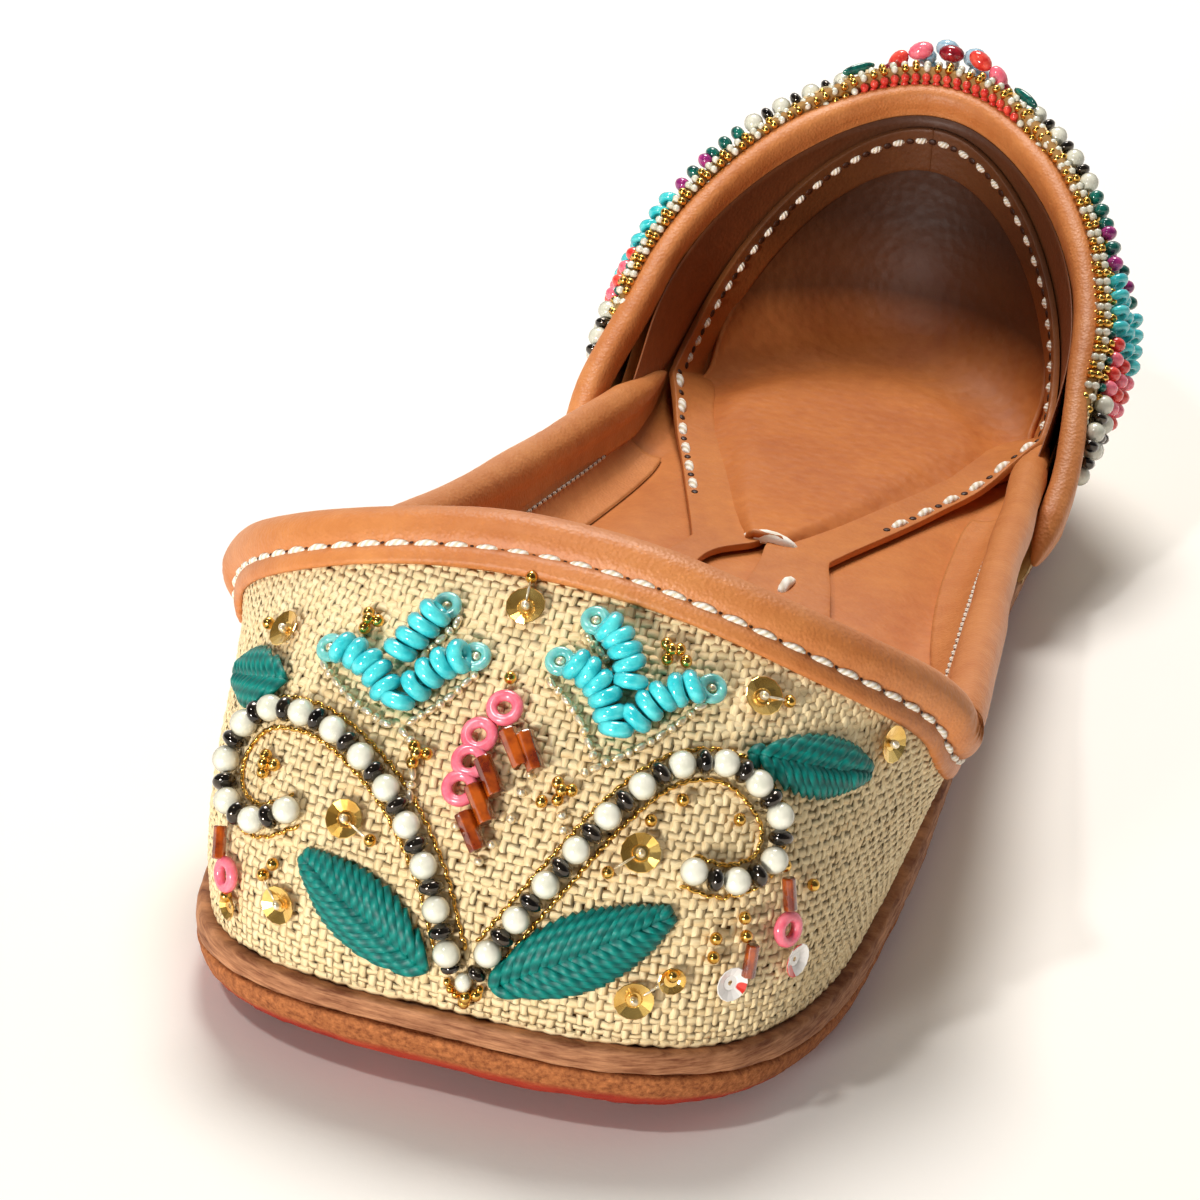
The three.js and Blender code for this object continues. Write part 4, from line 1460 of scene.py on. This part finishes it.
def leaf_threads(base, tip, width):
    """Paths of one leaf's threads, alternately from one side and the other."""
    base, tip = np.array(base, float), np.array(tip, float)
    length = np.linalg.norm(tip - base)
    axis = (tip - base) / length
    paths = []
    for step in np.arange(-0.05 * length, length * 0.93, 1.12):
        for hand in (-1, 1):
            side = np.array([-axis[1], axis[0]]) * hand
            reach = np.linspace(0, 1.3 * width, 200)
            slope = np.radians(40 - 14 * np.clip(step / length, 0, 1))
            forward = step + reach * np.cos(slope)
            room = width / 2 * np.sin(np.pi * np.clip(forward / length, 0, 1) ** 0.92) ** 0.8
            inside = (reach * np.sin(slope) <= room) & (forward >= 0)
            if not inside.any():
                continue
            start, final = reach[np.argmax(inside)], reach[len(inside) - 1 - np.argmax(inside[::-1])]
            if final - start < 0.5:
                continue
            share = np.linspace(0, 1, 9)
            along_it = start - 0.25 + (final - start + 0.25) * share
            sag = 0.35 * np.sin(np.pi * share)
            spots = base + np.outer(step + along_it * np.cos(slope) - sag, axis)
            spots += np.outer(along_it * np.sin(slope) + 0.3 * sag, side)
            plump = 0.42 + 0.95 * np.sin(np.pi * (0.12 + 0.88 * share)) ** 0.7 * min(1, (final - start) / 3)
            points, normals = on_vamp(spots, plump + chance.uniform(-0.12, 0.12))
            widths = LEAF_THREAD * (1 - 0.35 * share**4) * chance.uniform(0.88, 1.08)
            paths.append((points, normals, widths))
    return paths


silk = Finish("teal silk", {"Specular IOR Level": 0.3, "Roughness": 0.45})
wound = silk.node("TexCoord", output="UV")
filaments = silk.noise(silk.scaled(wound, (11, 0.5, 0)), 1, 3, 0.6)
twist = silk.node("TexWave", {"Vector": silk.scaled(wound, (2, 1.1, 0)), "Scale": 0.32, "Distortion": 0.7},
                  bands_direction="DIAGONAL")
# Fibre tone and painted sheen: lighter and darker teal along the filaments and the twist.
fibre_tone_and_painted_sheen = (filaments * 0.7 + twist * 0.42).stretched(0.2, 0.85)
silk.feed(silk.shader, {"Base Color": silk.blend(fibre_tone_and_painted_sheen, tint(0, 74, 70), tint(2, 134, 122))})
silk.bumped(filaments * 0.5 + twist, 0.12)
for number, (base, tip, width) in enumerate([
    ((-2, 5), (-18.5, 14), 8), ((6, 5), (24, 16), 8), ((30, 32.5), (50.5, 27), 6.5),
    ((-28, 30), (-42, 25.5), 6.5),
]):
    leaf = strand_mesh(f"leaf_{number + 1}", leaf_threads(base, tip, width), sides=8, thickness=1.05)
    dressed(leaf, silk.material)


# ---- Heel beadwork ----
# Rows of seeds over the edge of the quarter's cloth, and rows of larger beads below it in groups
# of many colours, with a flower of crystals at the back.

TOPLINE = lengths(last(HALF_TURNS, quarter_rim(HALF_TURNS)))
green_glass = glazed("dark green glass", (24, 120, 104), (8, 66, 62), {}, grain=900)
coral = glazed("coral glass", (246, 92, 74), (216, 44, 40), {}, grain=900)
wine = glazed("wine glass", (176, 34, 46), (112, 14, 28), {}, grain=900)
magenta = glazed("magenta glass", (196, 60, 140), (126, 30, 104), {}, grain=900)
mint = glazed("mint glass", (150, 226, 196), (104, 198, 166), {}, grain=900)
crystal = glazed(
    "pale blue crystal", (206, 232, 246), (150, 200, 226), {"Transmission Weight": 0.3}, grain=900
)


def quarter_frames(spots, headings, height):
    """Frames on the quarter. A spot is the way round from the middle of the back, to the right,
    and the way down from the topline, in mm. X lies along its heading."""
    spots = np.array(spots, float).reshape(-1, 2)
    headings = np.broadcast_to(unit(np.array(headings, float)), spots.shape)

    def placed(where):
        half_turn = np.interp(TOPLINE[-1] - np.abs(where[:, 0]), TOPLINE, HALF_TURNS)
        turn = np.where(where[:, 0] >= 0, half_turn, 1 - half_turn)
        up = np.maximum(wall_length(turn, quarter_rim) - where[:, 1], 0.2)
        return wall_place(turn, up, cloth_height(turn, up) + height)

    points, normals = placed(spots)
    ahead, _ = placed(spots + 0.3 * headings)
    return [frame_at(p, a - p, n) for p, a, n in zip(points, ahead, normals)]


def crest(place):
    """How far above the topline the cloth's edge is, at a place round the quarter."""
    return LIP * (1 - eased(abs(place), 64, 78)) + BACK_LIP * (1 - eased(abs(place), 6, 24))


SEED_PITCH = 1.55
rows = {"pearl": [], "gold": [], "green": [], "coral": []}
for number, place in enumerate(np.arange(-74, 74.1, SEED_PITCH)):
    edge = -crest(place)
    rows["pearl" if number % 3 else "gold"] += quarter_frames([(place, edge - 0.3)], (1, 0), -0.3)
    if abs(place) < 68:
        rows["gold" if number % 3 else "green"] += quarter_frames([(place, edge + 1.5)], (1, 0), 0.6)
    for row, behind in enumerate((-1.3, -2.0, -2.0, -2.0)):  # sewn over the edge, down its inner face
        if abs(place) < 70:
            kind = "coral" if abs(place) < 13 and row else ("gold", "pearl", "gold")[(number + row) % 3]
            rows[kind] += quarter_frames([(place, edge - 0.2 + 1.25 * row)], (1, 0), behind)
    if 14 < abs(place) < 62:
        rows["gold"] += quarter_frames([(place, 7.6 - 0.05 * abs(place))], (1, 0), 0.6)
strung("quarter_seeds_pearl", ball("seed", 1.35, 8, 6, (0.85, 1, 1)), rows["pearl"], pearl_glaze)
strung("quarter_seeds_gold", ball("seed", 1.45, 8, 6, (0.85, 1, 1)), rows["gold"], gold)
strung("quarter_seeds_coral", ball("seed", 1.5, 8, 6, (0.85, 1, 1)), rows["coral"], coral)
strung("quarter_seeds_green", ball("seed", 1.5, 8, 6, (0.85, 1, 1)), rows["green"], green_glass)

# Groups along the larger row: where each starts and ends, its beads and their spacing.
groups = {"pearl": [], "dark": [], "green": [], "turquoise": [], "pink": [], "coral": [], "magenta": []}
for first, final, kinds in (
    (14, 31, ("pearl", "dark")), (32, 37, ("green",)), (38.5, 45, ("magenta", "green")),
    (46.5, 55, ("turquoise",)), (56.5, 65, ("coral", "pink")), (67, 75, ("pearl", "dark")),
):
    for hand in (-1, 1):
        for down, shift in ((-1.6, 0.0), (1.6, 1.2), (4.8, 0.4)):
            for number, place in enumerate(np.arange(first + shift * 0.4, final + 0.1, 2.5)):
                reach = down * (1 - 0.25 * eased(place, 40, 76)) - 2.4 * (1 - eased(place, 30, 60))
                kind = kinds[(number + (down > 4)) % len(kinds)]
                groups[kind] += quarter_frames([(hand * place, reach)], (1, 0.2 * hand), 1.5)
strung("quarter_pearls", ball("pearl", 3.0, 14, 10), groups["pearl"], pearl_glaze)
strung("quarter_rondelles", ball("rondelle", 2.5, 12, 8, (0.66, 1, 1)), groups["dark"], hematite)
strung("quarter_green", ball("bead", 2.5, 12, 8, (0.8, 1, 1)), groups["green"], green_glass)
strung("quarter_turquoise", ring("ring", (1.15, 0.68), False), groups["turquoise"], turquoise)
strung("quarter_pink", ball("bead", 2.8, 14, 10, (0.8, 1, 1)), groups["pink"], pink)
strung("quarter_coral", ball("bead", 2.7, 14, 10, (0.8, 1, 1)), groups["coral"], coral)
strung("quarter_magenta", ball("bead", 2.6, 14, 10, (0.8, 1, 1)), groups["magenta"], magenta)


# ---- Heel flower ----
# At the middle of the back: pale crystals round a pearl, a ring of red and pink drops, teal and
# mint slips at each side, and two sequins.

turning = np.arange(6) * np.pi / 3 + 0.3
petals = [(3.3 * np.cos(a), -5.0 + 2.6 * np.sin(a)) for a in turning]
strung("flower_crystals", ball("crystal", 3.1, 8, 6, (1.2, 1, 0.9)),
       quarter_frames(petals, np.stack([np.cos(turning), np.sin(turning)], -1), 3.4), crystal)
strung("flower_middle", ball("pearl", 2.2, 14, 10), quarter_frames([(0, -5.0)], (1, 0), 3.4), pearl_glaze)
outer_turning = np.arange(12) * np.pi / 6
drops_at = np.array([(7.4 * np.cos(a), -3.4 + 4.6 * np.sin(a)) for a in outer_turning])
heading = np.stack([-np.sin(outer_turning), np.cos(outer_turning)], -1)
for first, (name, material) in enumerate((("wine", wine), ("coral", coral), ("pink", pink))):
    strung("flower_" + name, ball("drop", 2.8, 12, 8, (1.45, 1, 0.95)),
           quarter_frames(drops_at[first::3], heading[first::3], 1.8), material)
for name, place, down, material in (("teal", 12, -6, green_glass), ("mint", 12.5, -3.5, mint)):
    strung("flower_slips_" + name, ball("slip", 2.0, 12, 8, (2.7, 0.9, 0.6)),
           quarter_frames([(-place, down), (place, down)], (1, 0), 0.9), material)
strung("flower_sequins", sequin("sequin", 1.9), quarter_frames([(-5.2, 7), (5.2, 7)], (1, 0), 1.6),
       foil_gold)


# ---- Stage ----
# A pale studio sweep, a high key light behind the heel, a broad fill from the front, and the
# camera low in front of the toe, tipped a little to one side.

bpy.ops.object.select_all(action="DESELECT")
bpy.ops.mesh.primitive_plane_add(size=8, location=(0, 1.5, 0))
floor = bpy.context.object
floor.name = "floor"
paper = Finish("studio paper", {"Base Color": tint(246, 242, 236), "Roughness": 0.9})
grain = paper.noise(paper.node("TexCoord", output="Object"), 900, 2)
paper.bumped(grain, 0.05, 0.3)
floor.data.materials.append(paper.material)


def softbox(name, place, size, watts, colour):
    light = bpy.data.lights.new(name, "AREA")
    light.shape, light.size, light.energy, light.color = "DISK", size, watts, colour
    holder = bpy.data.objects.new(name, light)
    holder.location = place
    holder.rotation_euler = (Vector((0, 0, 0.03)) - Vector(place)).to_track_quat("-Z", "Y").to_euler()
    bpy.context.collection.objects.link(holder)


softbox("key", (-0.2, 0.44, 1.0), 0.5, 10.5, (1.0, 0.97, 0.93))
softbox("fill", (-0.25, -0.95, 0.1), 0.16, 7.5, (1.0, 0.98, 0.95))
softbox("sparkle", (-0.28, -0.5, 0.8), 0.07, 1.9, (1.0, 0.99, 0.97))
world = bpy.data.worlds.new("studio")
world.use_nodes = True
sky = world.node_tree
toward = sky.nodes.new("ShaderNodeSeparateXYZ")
sky.links.new(sky.nodes.new("ShaderNodeTexCoord").outputs["Generated"], toward.inputs[0])
shade = sky.nodes.new("ShaderNodeValToRGB")
shade.color_ramp.elements[0].color = (0.13, 0.13, 0.14, 1)
shade.color_ramp.elements[1].color = (1, 0.99, 0.97, 1)
shade.color_ramp.elements[1].position = 0.45
sky.links.new(toward.outputs["Y"], shade.inputs[0])
sky.links.new(shade.outputs[0], sky.nodes["Background"].inputs["Color"])
sky.nodes["Background"].inputs["Strength"].default_value = 0.6
bpy.context.scene.world = world
bpy.context.scene.view_settings.view_transform = "Standard"

AZIMUTH, ELEVATION, TILT = np.radians([14.99, 24.32, 5.54])
camera_data = bpy.data.cameras.new("camera")
camera_data.sensor_width, camera_data.lens = 36, 115.6
camera = bpy.data.objects.new("camera", camera_data)
level = Vector((np.cos(AZIMUTH), np.sin(AZIMUTH), 0))
away = Vector((np.sin(AZIMUTH), -np.cos(AZIMUTH), 0))
back = away * np.cos(ELEVATION) + Vector((0, 0, np.sin(ELEVATION)))
upright = back.cross(level)
right = np.cos(TILT) * level + np.sin(TILT) * upright
camera.matrix_world = Matrix((right, back.cross(right), back)).transposed().to_4x4()
camera.location = (0.1051, -0.4562, 0.2238)
bpy.context.collection.objects.link(camera)
bpy.context.scene.camera = camera
